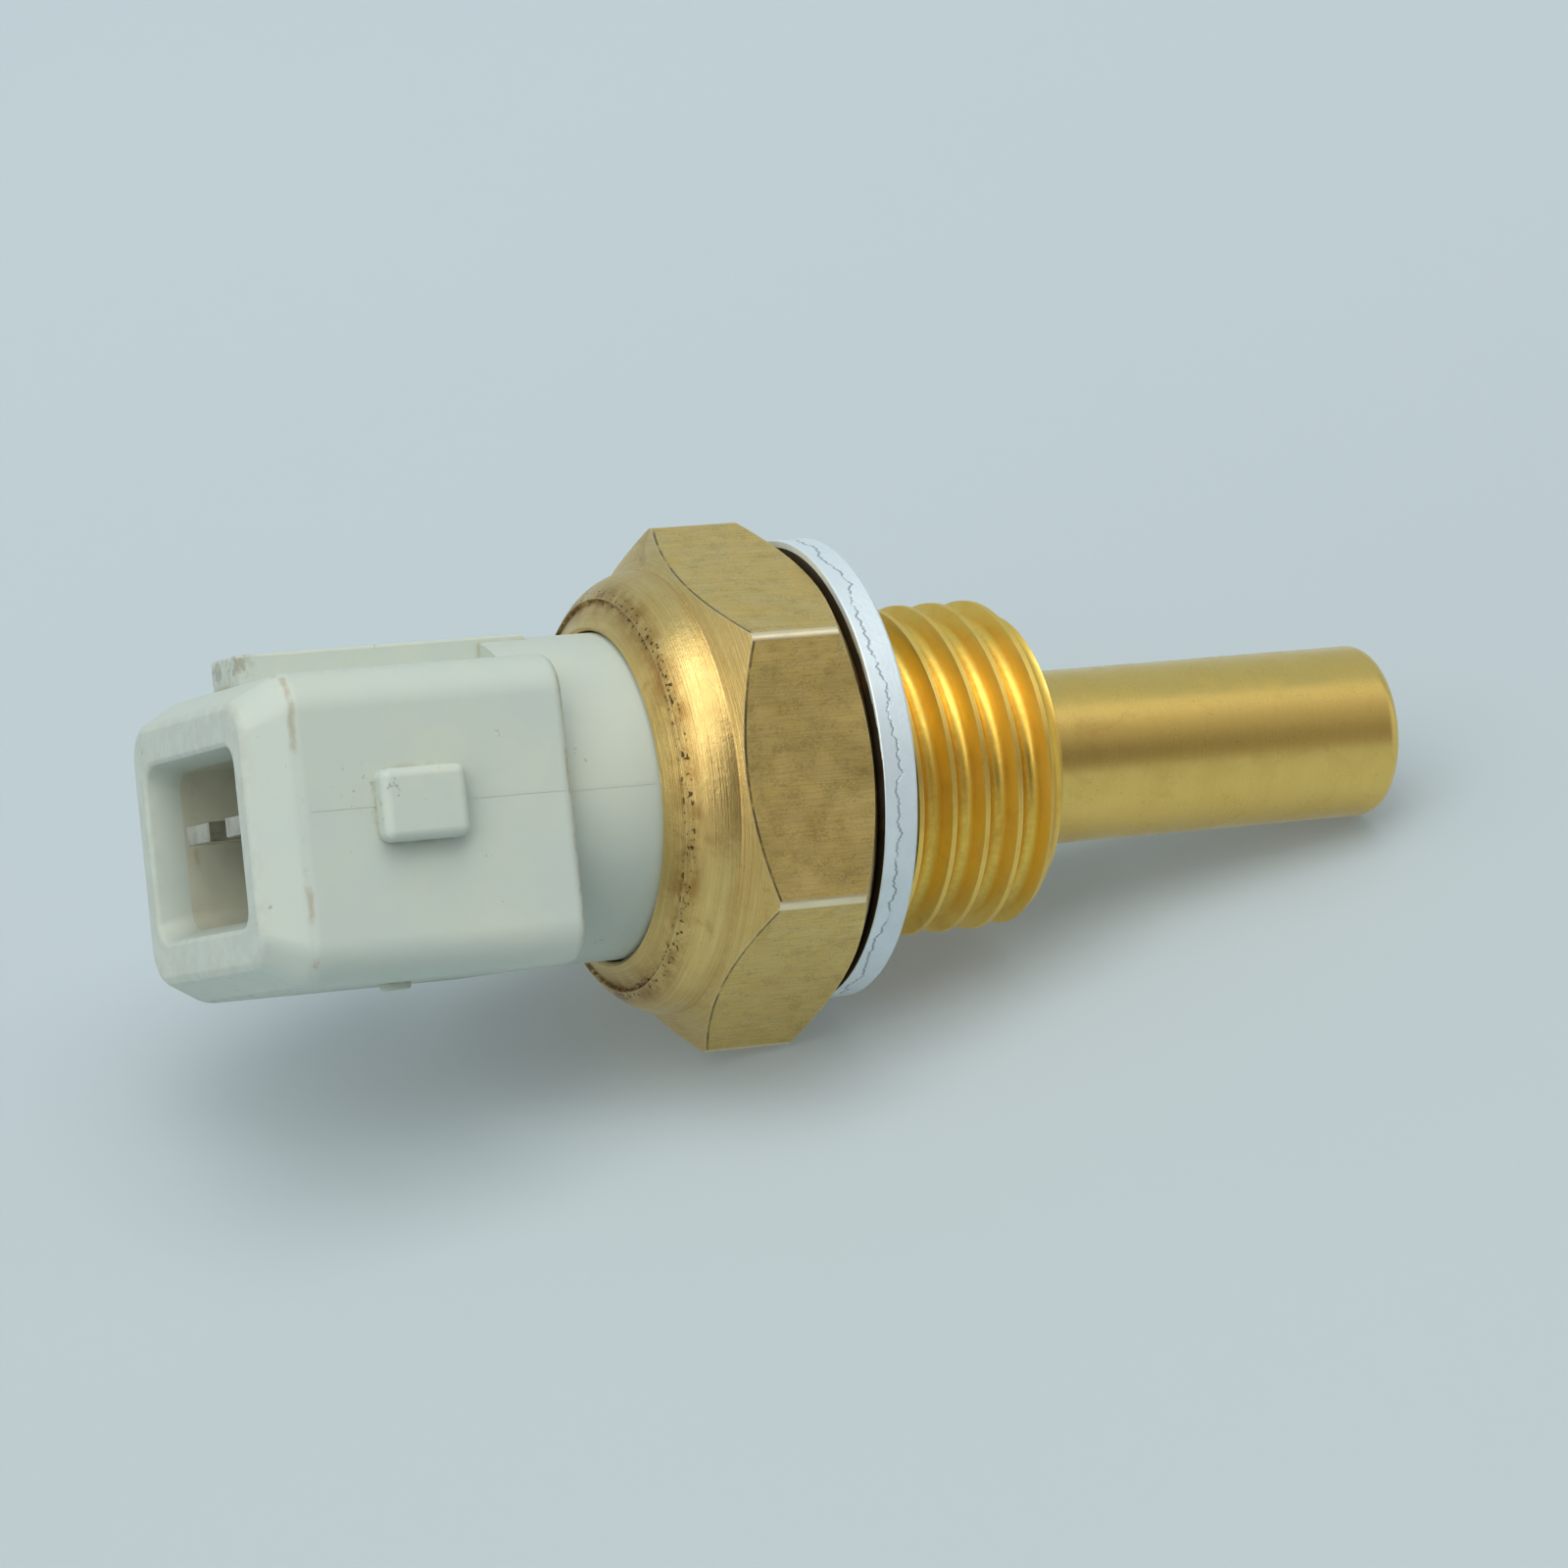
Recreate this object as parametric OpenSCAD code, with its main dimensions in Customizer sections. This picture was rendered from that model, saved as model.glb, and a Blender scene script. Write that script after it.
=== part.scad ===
// Water temperature sensor: a turned brass body with a moulded two-pin plug housing crimped into it.
// Each piece is drawn on the sensor's own axis, with +Z towards the probe's tip, +Y towards the side of
// the housing with the latch and +X towards its key rib. The face that the washer seals against is z = 0.
// The whole sensor is then laid down as it rests, on a flat of its hexagon and the tip of its probe.

/* [Hexagon and collar] */
// Width of the hexagon across its flats
hex_flats = 19; // [18.6:0.1:24]
// Length of the hexagon with both of its chamfers
hex_len = 6; // [5:0.1:9]
// Slope of the chamfers on the corners of the hexagon, in degrees
hex_slope = 33; // [20:1:40]
// Diameter of the round face that the washer seals against
seat_d = 18.4; // [17.4:0.1:18.6]
// How far the collar's root lies inside the hexagon's flats
root_inset = 0.3; // [0.1:0.05:0.6]
// Reach of the crimped collar behind the hexagon
collar_len = 2; // [1.6:0.1:3]
// Radius of the collar's rolled shoulder
collar_roll_r = 2.4; // [2.1:0.1:3]
// Distance from the collar's crease to the lip's end
lip_len = 0.5; // [0.3:0.1:1]
// Thickness of the lip's blunt edge round the neck
lip_edge = 0.15; // [0.1:0.05:0.3]

/* [Thread and probe] */
// Outside diameter of the mounting thread
thread_d = 13.8; // [13:0.1:14.4]
// Distance from the sealing face to the end of the thread
thread_len = 9.9; // [9:0.1:14]
// Depth of the groove where the thread runs out
relief_depth = 0.8; // [0.4:0.1:1.2]
// How far the groove where the thread runs out reaches past the washer's thickness
relief_past = 0.4; // [0.3:0.05:0.8]
// Chamfer on the thread's leading end
thread_chamfer = 0.9; // [0.5:0.1:1.2]
// Outside diameter of the probe
probe_d = 7.35; // [6.8:0.05:8.4]
// Distance from the sealing face to the tip of the probe
probe_len = 27.3; // [26:0.1:36]
// Radius of the probe's edge at the tip
probe_edge_r = 0.6; // [0.2:0.1:1.2]
// Thickness of the probe's side wall
probe_wall = 1; // [0.7:0.05:1.2]
// Thickness of the probe's end wall
probe_end_wall = 1.2; // [0.8:0.1:2]

/* [Sealing washer] */
// Outside diameter of the washer
washer_d = 19.2; // [18.6:0.1:20]
// Diameter of the washer's hole
washer_bore = 14.8; // [14.6:0.1:15.2]
// Thickness of the washer
washer_t = 1.5; // [1:0.1:2]
// Width of the worn edge on the washer's rim
washer_edge = 0.2; // [0.1:0.05:0.3]
// Lean of the loose washer, which touches the hexagon at the top and stands off it below, in degrees
washer_lean = 0.7; // [0:0.1:1]

/* [Housing] */
// Diameter of the round neck between the block and the collar
neck_d = 13.5; // [12.8:0.1:13.8]
// Length of the neck that shows
neck_len = 4.1; // [3:0.1:8]
// Length of the rectangular block
block_len = 13.4; // [12.6:0.1:18]
// Width of the block, from latch side to latch side
block_w = 15.8; // [14.6:0.1:18]
// Height of the block without its key rib
block_h = 12.45; // [11.6:0.05:13]
// Radius of the block's long edges
block_edge_r = 1.7; // [0.8:0.1:2]
// Length of the tapered nose at the block's mouth
nose_len = 1.9; // [1.2:0.1:2.4]
// How far the nose draws in on each side
nose_draw = 1; // [0.6:0.05:1.1]
// Width of the key rib
rib_w = 3.1; // [2.4:0.1:4]
// Height of the key rib above the block
rib_h = 1.2; // [0.8:0.1:1.6]
// Distance from the block's mouth to the front of the key rib
rib_setback = 2; // [1.2:0.1:4]
// Length of each latch bump
latch_len = 4.1; // [3:0.1:5]
// Width of each latch bump
latch_w = 3; // [2:0.1:4]
// Height of each latch bump
latch_h = 1; // [0.6:0.1:1.4]
// Distance from the block's mouth to the front of each latch bump
latch_setback = 4.5; // [3.5:0.1:6]
// Bevel on the edges of the latch bumps
latch_bevel = 0.35; // [0.2:0.05:0.5]
// Diameter of the mould's gate mark under the block
gate_d = 1.7; // [1:0.1:2.4]
// Height of the gate mark
gate_h = 0.3; // [0.1:0.1:0.5]
// Distance from the block's mouth to the middle of the gate mark
gate_setback = 5.6; // [4:0.1:8]

/* [Socket and blades] */
// Width of the socket inside
socket_w = 10.7; // [9.6:0.1:11.2]
// Height of the socket inside
socket_h = 6.5; // [6:0.1:7.2]
// Depth of the socket from its mouth
socket_depth = 11.5; // [9:0.1:12]
// Radius of the socket's long corners
socket_corner_r = 0.7; // [0.3:0.1:1.2]
// Length of the lead-in bevel round the mouth
mouth_len = 1.4; // [0.6:0.1:2]
// Width of the lead-in bevel round the mouth
mouth_bevel = 0.4; // [0.2:0.05:0.6]
// Width of a contact blade
blade_w = 2.8; // [2.2:0.1:3]
// Thickness of a contact blade
blade_t = 0.8; // [0.6:0.05:1]
// Distance between the middles of the two blades
blade_pitch = 5; // [4.6:0.1:5.2]
// Distance from the mouth to the blades' ends
blade_recess = 1; // [0.5:0.1:3]
// Length and width of the bevels on a blade's end
blade_bevel = 0.25; // [0.1:0.05:0.35]

/* [Inside the brass body] */
// Diameter of the housing's flange, which the collar holds down
flange_d = 15.2; // [14.8:0.1:15.6]
// Thickness of the flange at its rim
flange_t = 3.1; // [2.4:0.1:3.2]
// Thickness of the sealing ring's section
ring_t = 1.8; // [1.4:0.1:2]
// Diameter of the housing's spigot in the thread's bore
spigot_d = 8.9; // [8.6:0.1:9.2]
// Reach of the spigot past the sealing face
spigot_len = 2.6; // [1.5:0.1:4]
// Width of a terminal's solder tab
tab_w = 1.2; // [0.9:0.1:1.5]
// Length of a terminal's solder tab
tab_len = 2.4; // [1.8:0.1:3]
// Diameter of the lead wires
lead_d = 0.5; // [0.4:0.05:0.6]
// Distance from the axis to each lead wire in the probe
lead_offset = 0.75; // [0.65:0.05:0.85]
// Outside diameter of the sleeves on the lead wires
sleeve_d = 1.1; // [0.9:0.05:1.2]
// Distance from the sleeves' ends to the heat paste
sleeve_setback = 1.9; // [1:0.1:3]
// Wall of the insulating tube that lines the probe
liner_wall = 0.35; // [0.2:0.05:0.45]
// Diameter of the thermistor bead
bead_d = 2.2; // [1.8:0.1:2.6]
// Length of the thermistor bead
bead_len = 3; // [2.4:0.1:3.4]
// Depth of the heat paste in the tip
paste_len = 4.4; // [4:0.1:6]

/* [Clearances] */
// Gap all round between pieces that slip into each other
fit_gap = 0.1; // [0.05:0.01:0.15]

/* [Hidden] */
$fn = 96;

// Bore and counterbore of the brass body
counterbore_r = flange_d / 2 + fit_gap;
bore_r = spigot_d / 2 + fit_gap;
probe_bore_r = probe_d / 2 - probe_wall;
probe_bore_end = probe_len - probe_end_wall;
step_z = thread_len - probe_wall;
cone_len = bore_r - probe_bore_r;
relief_len = washer_t + relief_past;
eps = 0.01;
over = 1;

// Hexagon
hex_r = hex_flats / 2 / cos(30);
root_r = hex_flats / 2 - root_inset;
seat_rise = (hex_r - seat_d / 2) * tan(hex_slope);
root_rise = (hex_r - root_r) * tan(hex_slope);

// Collar: a rolled shoulder that starts at the hexagon's root and ends at a crease, then the lip
roll_centre_r = root_r - collar_roll_r;
crease_r = roll_centre_r + sqrt(pow(collar_roll_r, 2) - pow(collar_len, 2));
crease_z = -hex_len - collar_len;
lip_z = crease_z - lip_len;
lip_bore_r = neck_d / 2 + fit_gap;

// Stack of the housing inside the brass body, from the flange's shoulder to the floor under the ring
shoulder_top_z = crease_z + lip_len;
shoulder_z = shoulder_top_z + (flange_d - neck_d) / 2;
flange_z = shoulder_z + flange_t;
floor_z = flange_z + ring_t;
ring_seat_r = flange_d / 2 - ring_t - fit_gap;

// Block of the housing; its underside is level with the neck, or with the rib's height on the other side
block_z = lip_z - neck_len;
mouth_z = block_z - block_len;
block_top = neck_d / 2 + fit_gap - rib_h;
block_mid = block_top - block_h / 2;
socket_floor_z = mouth_z + socket_depth;

// Terminals and leads
blade_z = mouth_z + blade_recess;
tab_x = blade_pitch / 2 - blade_w / 2 + tab_w / 2;
tab_end_z = spigot_len + tab_len;
joint_len = tab_len / 2;
solder_film = 0.06;
lead_side = blade_t / 2 + solder_film + lead_d / 2;
lead_play = 0.4;
elbow_d = lead_d + 0.04;
slant_start_z = tab_end_z + lead_play;
slant_end_z = thread_len;
sleeve_z = slant_end_z + lead_play;
liner_z = step_z + lead_play;
bead_cover = 0.3;
bead_z = probe_bore_end - bead_len - bead_cover;
paste_z = probe_bore_end - paste_len;
sleeve_len = paste_z - sleeve_setback - sleeve_z;

// Rest: a line from the edge of the lowest flat to the rounded edge of the tip
flat_edge_z = -(hex_flats / 2 - seat_d / 2) * tan(hex_slope);
tip_centre_z = probe_len - probe_edge_r;
tip_centre_r = probe_d / 2 - probe_edge_r;
rest_run = tip_centre_z - flat_edge_z;
rest_drop = hex_flats / 2 - tip_centre_r;
rest_tilt = atan2(rest_drop, rest_run) - asin(probe_edge_r / norm([rest_run, rest_drop]));
rest_height = hex_flats / 2 * cos(rest_tilt) + flat_edge_z * sin(rest_tilt);
rest_turn = 150;

// The washer stands on the same surface, which lifts it off the sensor's axis
washer_tilt = rest_tilt - washer_lean;
washer_reach = washer_d / 2 * cos(washer_tilt) + (washer_t - washer_edge) * sin(washer_tilt);
washer_drop = (rest_height + seat_d / 2 * cos(rest_tilt) - washer_reach) / cos(washer_tilt);

// Middle of the sensor's length as it lies, so that the origin is under the middle of its box
tip_x = tip_centre_z * cos(rest_tilt) + tip_centre_r * sin(rest_tilt) + probe_edge_r;
nose_half = [block_h / 2 - nose_draw, block_w / 2 - nose_draw];
mouth_x = mouth_z * cos(rest_tilt)
  - ((nose_half[0] - block_mid) * -cos(rest_turn) + nose_half[1] * sin(rest_turn)) * sin(rest_tilt);
middle_x = (tip_x + mouth_x) / 2;

brass = "#B08A3E";
plastic = "#C3CCBF";
zinc = "#BFC8CC";
tinned = "#B8B6AC";

module lying() {
  translate([-middle_x, 0, rest_height]) rotate([0, 90 + rest_tilt, 0]) rotate([0, 0, rest_turn])
    children();
}

// A rectangle with rounded corners, centred on the axis
module rounded_plate(size, r) {
  square([size[0] - 2 * r, size[1]], center = true);
  square([size[0], size[1] - 2 * r], center = true);
  for (x = [-1, 1], y = [-1, 1])
    translate([x * (size[0] / 2 - r), y * (size[1] / 2 - r)]) circle(r);
}

// A round rod from one point to the next
module rod(from, to, d) {
  run = to - from;
  translate(from) rotate([0, acos(run[2] / norm(run)), atan2(run[1], run[0])]) cylinder(d = d, h = norm(run), $fn = 32);
}

// Brass body
module hexagon() {
  intersection() {
    translate([0, 0, -hex_len]) cylinder(r = hex_r, h = hex_len, $fn = 6);
    rotate_extrude() polygon([
      [0, 0], [seat_d / 2, 0], [hex_r + eps, -seat_rise - eps * tan(hex_slope)],
      [hex_r + eps, -hex_len + root_rise + eps * tan(hex_slope)], [root_r, -hex_len], [0, -hex_len]
    ]);
  }
}

module collar() {
  rotate_extrude() {
    intersection() {
      translate([roll_centre_r, -hex_len]) circle(collar_roll_r);
      translate([0, crease_z]) square([root_r + eps, collar_len + eps]);
    }
    translate([0, crease_z]) square([roll_centre_r, collar_len + eps]);
    polygon([
      [0, lip_z], [lip_bore_r + lip_edge, lip_z], [crease_r, crease_z], [0, crease_z]
    ]);
  }
}

module shank() {
  rotate_extrude() {
    square([thread_d / 2 - relief_depth, relief_len]);
    polygon([
      [0, relief_len], [thread_d / 2, relief_len], [thread_d / 2, thread_len - thread_chamfer],
      [thread_d / 2 - thread_chamfer, thread_len], [0, thread_len]
    ]);
    translate([0, thread_len - eps]) square([probe_d / 2, tip_centre_z - thread_len + eps]);
    translate([tip_centre_r, tip_centre_z]) circle(probe_edge_r);
    square([tip_centre_r, probe_len]);
  }
}

module brass_bore() {
  rotate_extrude() {
    translate([0, lip_z - over]) square([lip_bore_r, shoulder_top_z - lip_z + 2 * over]);
    polygon([
      [0, shoulder_top_z], [lip_bore_r, shoulder_top_z], [counterbore_r, shoulder_z],
      [counterbore_r, floor_z], [bore_r, floor_z], [bore_r, step_z - cone_len],
      [probe_bore_r, step_z], [probe_bore_r, probe_bore_end], [0, probe_bore_end]
    ]);
  }
}

module brass_body() {
  color(brass) lying() difference() {
    union() {
      hexagon();
      collar();
      shank();
    }
    brass_bore();
  }
}

// Flat ring that leans against the top of the hexagon's round face and stands on the surface below
module sealing_washer() {
  r = washer_d / 2;
  color(zinc) lying() rotate([0, 0, -rest_turn]) translate([-seat_d / 2, 0, 0]) rotate([0, -washer_lean, 0])
    translate([washer_drop, 0, 0]) rotate_extrude() polygon([
      [washer_bore / 2, 0], [r - washer_edge, 0], [r, washer_edge], [r, washer_t - washer_edge],
      [r - washer_edge, washer_t], [washer_bore / 2, washer_t]
    ]);
}

// Housing
module block_blank() {
  translate([block_mid, 0, mouth_z]) linear_extrude(block_len)
    rounded_plate([block_h, block_w], block_edge_r);
}

// Wedge that slopes one side of the nose, whose outside lies at the given distance along +X
module nose_wedge(side, width) {
  translate([side, 0, mouth_z]) rotate([90, 0, 0]) linear_extrude(width, center = true)
    polygon([[-nose_draw, 0], [-nose_draw, -over], [over, -over], [over, nose_len], [0, nose_len]]);
}

module nose_cuts() {
  for (side = [0, 180]) translate([block_mid, 0, 0]) rotate([0, 0, side]) nose_wedge(block_h / 2, block_w + 2 * over);
  for (side = [90, 270]) translate([block_mid, 0, 0]) rotate([0, 0, side]) nose_wedge(block_w / 2, block_h + 2 * over);
}

module key_rib() {
  front = mouth_z + rib_setback;
  translate([block_top - eps, -rib_w / 2, front]) cube([rib_h + eps, rib_w, block_z - front]);
}

// A bump for the plug's spring clip, bevelled on all four edges
module latch_bump() {
  low = mouth_z + latch_setback;
  translate([0, block_w / 2 - eps, low]) intersection() {
    rotate([0, -90, 0]) linear_extrude(latch_w, center = true) polygon([
      [0, 0], [0, latch_h - 2 * latch_bevel], [2 * latch_bevel, latch_h], [latch_len - latch_bevel, latch_h],
      [latch_len, latch_h - latch_bevel], [latch_len, 0]
    ]);
    linear_extrude(latch_len) polygon([
      [-latch_w / 2, 0], [-latch_w / 2, latch_h - latch_bevel], [latch_bevel - latch_w / 2, latch_h],
      [latch_w / 2 - latch_bevel, latch_h], [latch_w / 2, latch_h - latch_bevel], [latch_w / 2, 0]
    ]);
  }
}

// Lead-in bevels on two facing sides of the socket; the sides' distance lies along X
module mouth_bevels(size, width) {
  mouth_side = size / 2 + mouth_bevel;
  translate([block_mid, 0, mouth_z]) rotate([90, 0, 0]) linear_extrude(width, center = true) polygon([
    [-mouth_side, -over], [mouth_side, -over], [mouth_side, 0], [size / 2, mouth_len],
    [-size / 2, mouth_len], [-mouth_side, 0]
  ]);
}

module socket() {
  translate([block_mid, 0, mouth_z - over]) linear_extrude(socket_depth + over)
    rounded_plate([socket_h, socket_w], socket_corner_r);
  mouth_bevels(socket_h, socket_w - 2 * socket_corner_r);
  translate([block_mid, 0, 0]) rotate([0, 0, 90]) translate([-block_mid, 0, 0])
    mouth_bevels(socket_w, socket_h - 2 * socket_corner_r);
}

module neck_and_flange() {
  rotate_extrude() polygon([
    [0, block_z - over], [neck_d / 2, block_z - over], [neck_d / 2, shoulder_top_z], [flange_d / 2, shoulder_z],
    [flange_d / 2, flange_z], [ring_seat_r, flange_z], [ring_seat_r, floor_z - fit_gap],
    [spigot_d / 2, floor_z - fit_gap], [spigot_d / 2, spigot_len], [0, spigot_len]
  ]);
}

module gate_mark() {
  translate([block_top - block_h + eps, 0, mouth_z + gate_setback]) rotate([0, -90, 0])
    cylinder(d = gate_d, h = gate_h + eps);
}

// The strip of one terminal inside the housing, which the plastic is moulded round
module strip_cut() {
  translate([-blade_t / 2, blade_pitch / 2 - blade_w / 2, socket_floor_z - over])
    cube([blade_t, blade_w, spigot_len - socket_floor_z + 2 * over]);
}

module connector_housing() {
  color(plastic) lying() difference() {
    union() {
      difference() {
        block_blank();
        nose_cuts();
      }
      key_rib();
      for (side = [0, 180]) rotate([0, 0, side]) latch_bump();
      gate_mark();
      neck_and_flange();
    }
    socket();
    for (side = [0, 180]) rotate([0, 0, side]) strip_cut();
  }
}

// One terminal: a blade with a bevelled end, its strip through the plastic and a narrow solder tab
module terminal() {
  inner = blade_pitch / 2 - blade_w / 2;
  outer = inner + blade_w;
  intersection() {
    rotate([90, 0, 90]) linear_extrude(blade_t, center = true) polygon([
      [inner + blade_bevel, blade_z], [outer - blade_bevel, blade_z], [outer, blade_z + 2 * blade_bevel],
      [outer, spigot_len], [inner + tab_w, spigot_len], [inner + tab_w, tab_end_z], [inner, tab_end_z],
      [inner, blade_z + 2 * blade_bevel]
    ]);
    rotate([0, -90, -90]) linear_extrude(outer + over) polygon([
      [blade_z, blade_t / 2 - blade_bevel], [blade_z, blade_bevel - blade_t / 2],
      [blade_z + 2 * blade_bevel, -blade_t / 2], [tab_end_z, -blade_t / 2], [tab_end_z, blade_t / 2],
      [blade_z + 2 * blade_bevel, blade_t / 2]
    ]);
  }
}

module terminal_near() { color(tinned) lying() terminal(); }
module terminal_far() { color(tinned) lying() rotate([0, 0, 180]) terminal(); }

// Sealing ring between the flange and the floor of the counterbore
module o_ring() {
  color("#2B2B2B") lying() translate([0, 0, floor_z - ring_t / 2]) rotate_extrude()
    translate([flange_d / 2 - ring_t / 2, 0]) circle((ring_t - fit_gap / 2) / 2);
}

// One lead: beside its tab, slanting in through the cone, then straight down the probe
function lead_points() = [
  [lead_side, tab_x, tab_end_z - joint_len], [lead_side, tab_x, slant_start_z],
  [0, lead_offset, slant_end_z], [0, lead_offset, bead_z]
];

module lead_wire() {
  points = lead_points();
  for (i = [0 : len(points) - 2]) rod(points[i], points[i + 1], lead_d);
  for (i = [1 : len(points) - 2]) translate(points[i]) sphere(d = elbow_d, $fn = 32);
}

module lead_wire_near() { color("#C9C4B6") lying() lead_wire(); }
module lead_wire_far() { color("#C9C4B6") lying() rotate([0, 0, 180]) lead_wire(); }

module solder_joint() {
  blob_d = tab_w + 2 * lead_d;
  difference() {
    translate([lead_side / 2, tab_x, tab_end_z - joint_len / 2]) intersection() {
      sphere(d = blob_d);
      cube([blob_d, blob_d, joint_len], center = true);
    }
    terminal();
    lead_wire();
  }
}

module solder_joint_near() { color("#A9ABA8") lying() solder_joint(); }
module solder_joint_far() { color("#A9ABA8") lying() rotate([0, 0, 180]) solder_joint(); }

module sleeve() {
  translate([0, lead_offset, sleeve_z]) difference() {
    cylinder(d = sleeve_d, h = sleeve_len, $fn = 32);
    translate([0, 0, -over]) cylinder(d = lead_d + fit_gap, h = sleeve_len + 2 * over, $fn = 32);
  }
}

module sleeve_near() { color("#8C3B2E") lying() sleeve(); }
module sleeve_far() { color("#8C3B2E") lying() rotate([0, 0, 180]) sleeve(); }

// Insulating tube that keeps the leads off the probe's wall
module liner_tube() {
  r = probe_bore_r - fit_gap;
  length = paste_z - liner_z;
  color("#D9C7A0") lying() translate([0, 0, liner_z]) difference() {
    cylinder(r = r, h = length);
    translate([0, 0, -over]) cylinder(r = r - liner_wall, h = length + 2 * over);
  }
}

module bead() {
  translate([0, 0, bead_z]) cylinder(d = bead_d, h = bead_len - bead_d / 2);
  translate([0, 0, bead_z + bead_len - bead_d / 2]) sphere(d = bead_d);
}

module thermistor() { color("#1F2A24") lying() bead(); }

// Paste in the tip of the probe, which carries the heat to the bead
module heat_paste() {
  color("#E4E2DC") lying() difference() {
    translate([0, 0, paste_z]) cylinder(r = probe_bore_r - fit_gap / 2, h = paste_len);
    bead();
    lead_wire();
    rotate([0, 0, 180]) lead_wire();
  }
}

brass_body();
sealing_washer();
connector_housing();
terminal_near();
terminal_far();
o_ring();
lead_wire_near();
lead_wire_far();
solder_joint_near();
solder_joint_far();
sleeve_near();
sleeve_far();
liner_tube();
thermistor();
heat_paste();
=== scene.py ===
"""Looks of the water temperature sensor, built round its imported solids.

Every piece is modelled in millimetres on the sensor's own axis, with +Z towards the probe's tip, +Y towards the
latch side of the housing that faces the viewer and +X towards its key rib. It is then laid down as the solids lie.
"""

import sys

import logging
import math
from contextlib import contextmanager
from dataclasses import dataclass, field
from enum import Enum
from typing import Callable, Iterator

import bmesh
import bpy
from mathutils import Matrix, Vector


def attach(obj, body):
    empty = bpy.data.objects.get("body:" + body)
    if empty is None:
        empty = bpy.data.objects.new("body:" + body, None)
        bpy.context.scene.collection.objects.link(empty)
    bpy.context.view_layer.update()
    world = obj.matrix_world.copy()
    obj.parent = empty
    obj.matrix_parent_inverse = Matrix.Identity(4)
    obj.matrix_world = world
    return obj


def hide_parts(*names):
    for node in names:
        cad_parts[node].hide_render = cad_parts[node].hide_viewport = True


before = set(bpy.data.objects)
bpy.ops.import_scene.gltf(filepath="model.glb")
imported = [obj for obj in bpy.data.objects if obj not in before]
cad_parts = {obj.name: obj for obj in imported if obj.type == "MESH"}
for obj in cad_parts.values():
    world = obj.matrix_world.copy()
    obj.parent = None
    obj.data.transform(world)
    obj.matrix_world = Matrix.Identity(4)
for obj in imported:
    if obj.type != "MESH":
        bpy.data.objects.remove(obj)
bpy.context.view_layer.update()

log = logging.getLogger("sensor")
MM = 0.001
Colour = tuple[float, float, float]
Point = tuple[float, float]


class Join(Enum):
    """How two closed pieces are combined."""

    UNION = "UNION"
    CUT = "DIFFERENCE"
    KEEP_COMMON = "INTERSECT"


class Slot(Enum):
    """Material slot names; no piece of this scene takes its finish from them."""

    BRASS = "brass"
    WASHER = "washer_metal"
    HOUSING = "housing_plastic"
    TERMINAL = "tinned_brass"


# ---------------------------------------------------------------- modelling bench


def clear_selection() -> None:
    """Returns to object mode with nothing selected."""
    if bpy.context.mode != "OBJECT":
        bpy.ops.object.mode_set(mode="OBJECT")
    bpy.ops.object.select_all(action="DESELECT")


def take(obj: bpy.types.Object) -> None:
    """Selects one object alone and makes it the active one."""
    clear_selection()
    obj.select_set(True)
    bpy.context.view_layer.objects.active = obj


@contextmanager
def editing(obj: bpy.types.Object, mode: str = "FACE") -> Iterator[None]:
    """Opens an object in edit mode with all of it deselected, and closes it again.

    Args:
        obj: The object to edit.
        mode: The kind of element to select, VERT, EDGE or FACE.
    """
    take(obj)
    bpy.ops.object.mode_set(mode="EDIT")
    bpy.ops.mesh.select_mode(type=mode)
    bpy.ops.mesh.select_all(action="DESELECT")
    yield
    bpy.ops.object.mode_set(mode="OBJECT")


def pick_faces(obj: bpy.types.Object, rule: Callable[[Vector, Vector], bool]) -> None:
    """Selects, in edit mode, the faces whose middle and normal a rule accepts.

    Args:
        obj: The object in edit mode.
        rule: Takes a face's middle and its normal and says whether the face is wanted.
    """
    bpy.ops.mesh.select_all(action="DESELECT")
    mesh = bmesh.from_edit_mesh(obj.data)
    for face in mesh.faces:
        if rule(face.calc_center_median(), face.normal):
            face.select_set(True)
    mesh.select_flush_mode()
    bmesh.update_edit_mesh(obj.data)


def pick_edges(obj: bpy.types.Object, rule: Callable[[Vector, Vector], bool]) -> None:
    """Selects, in edit mode, the edges whose two ends a rule accepts.

    Args:
        obj: The object in edit mode.
        rule: Takes the places of an edge's two ends and says whether the edge is wanted.
    """
    bpy.ops.mesh.select_all(action="DESELECT")
    mesh = bmesh.from_edit_mesh(obj.data)
    for edge in mesh.edges:
        if rule(edge.verts[0].co, edge.verts[1].co):
            edge.select_set(True)
    mesh.select_flush_mode()
    bmesh.update_edit_mesh(obj.data)


def arc(centre: Point, radius: float, start: float, end: float, steps: int) -> list[Point]:
    """Points of a circular arc.

    Args:
        centre: Middle of the arc.
        radius: Radius of the arc.
        start: Angle of the first point, in degrees.
        end: Angle of the last point, in degrees.
        steps: Number of straight steps.

    Returns:
        The points, from the first to the last.
    """
    turns = [math.radians(start + (end - start) * i / steps) for i in range(steps + 1)]
    return [(centre[0] + radius * math.cos(t), centre[1] + radius * math.sin(t)) for t in turns]


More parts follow.
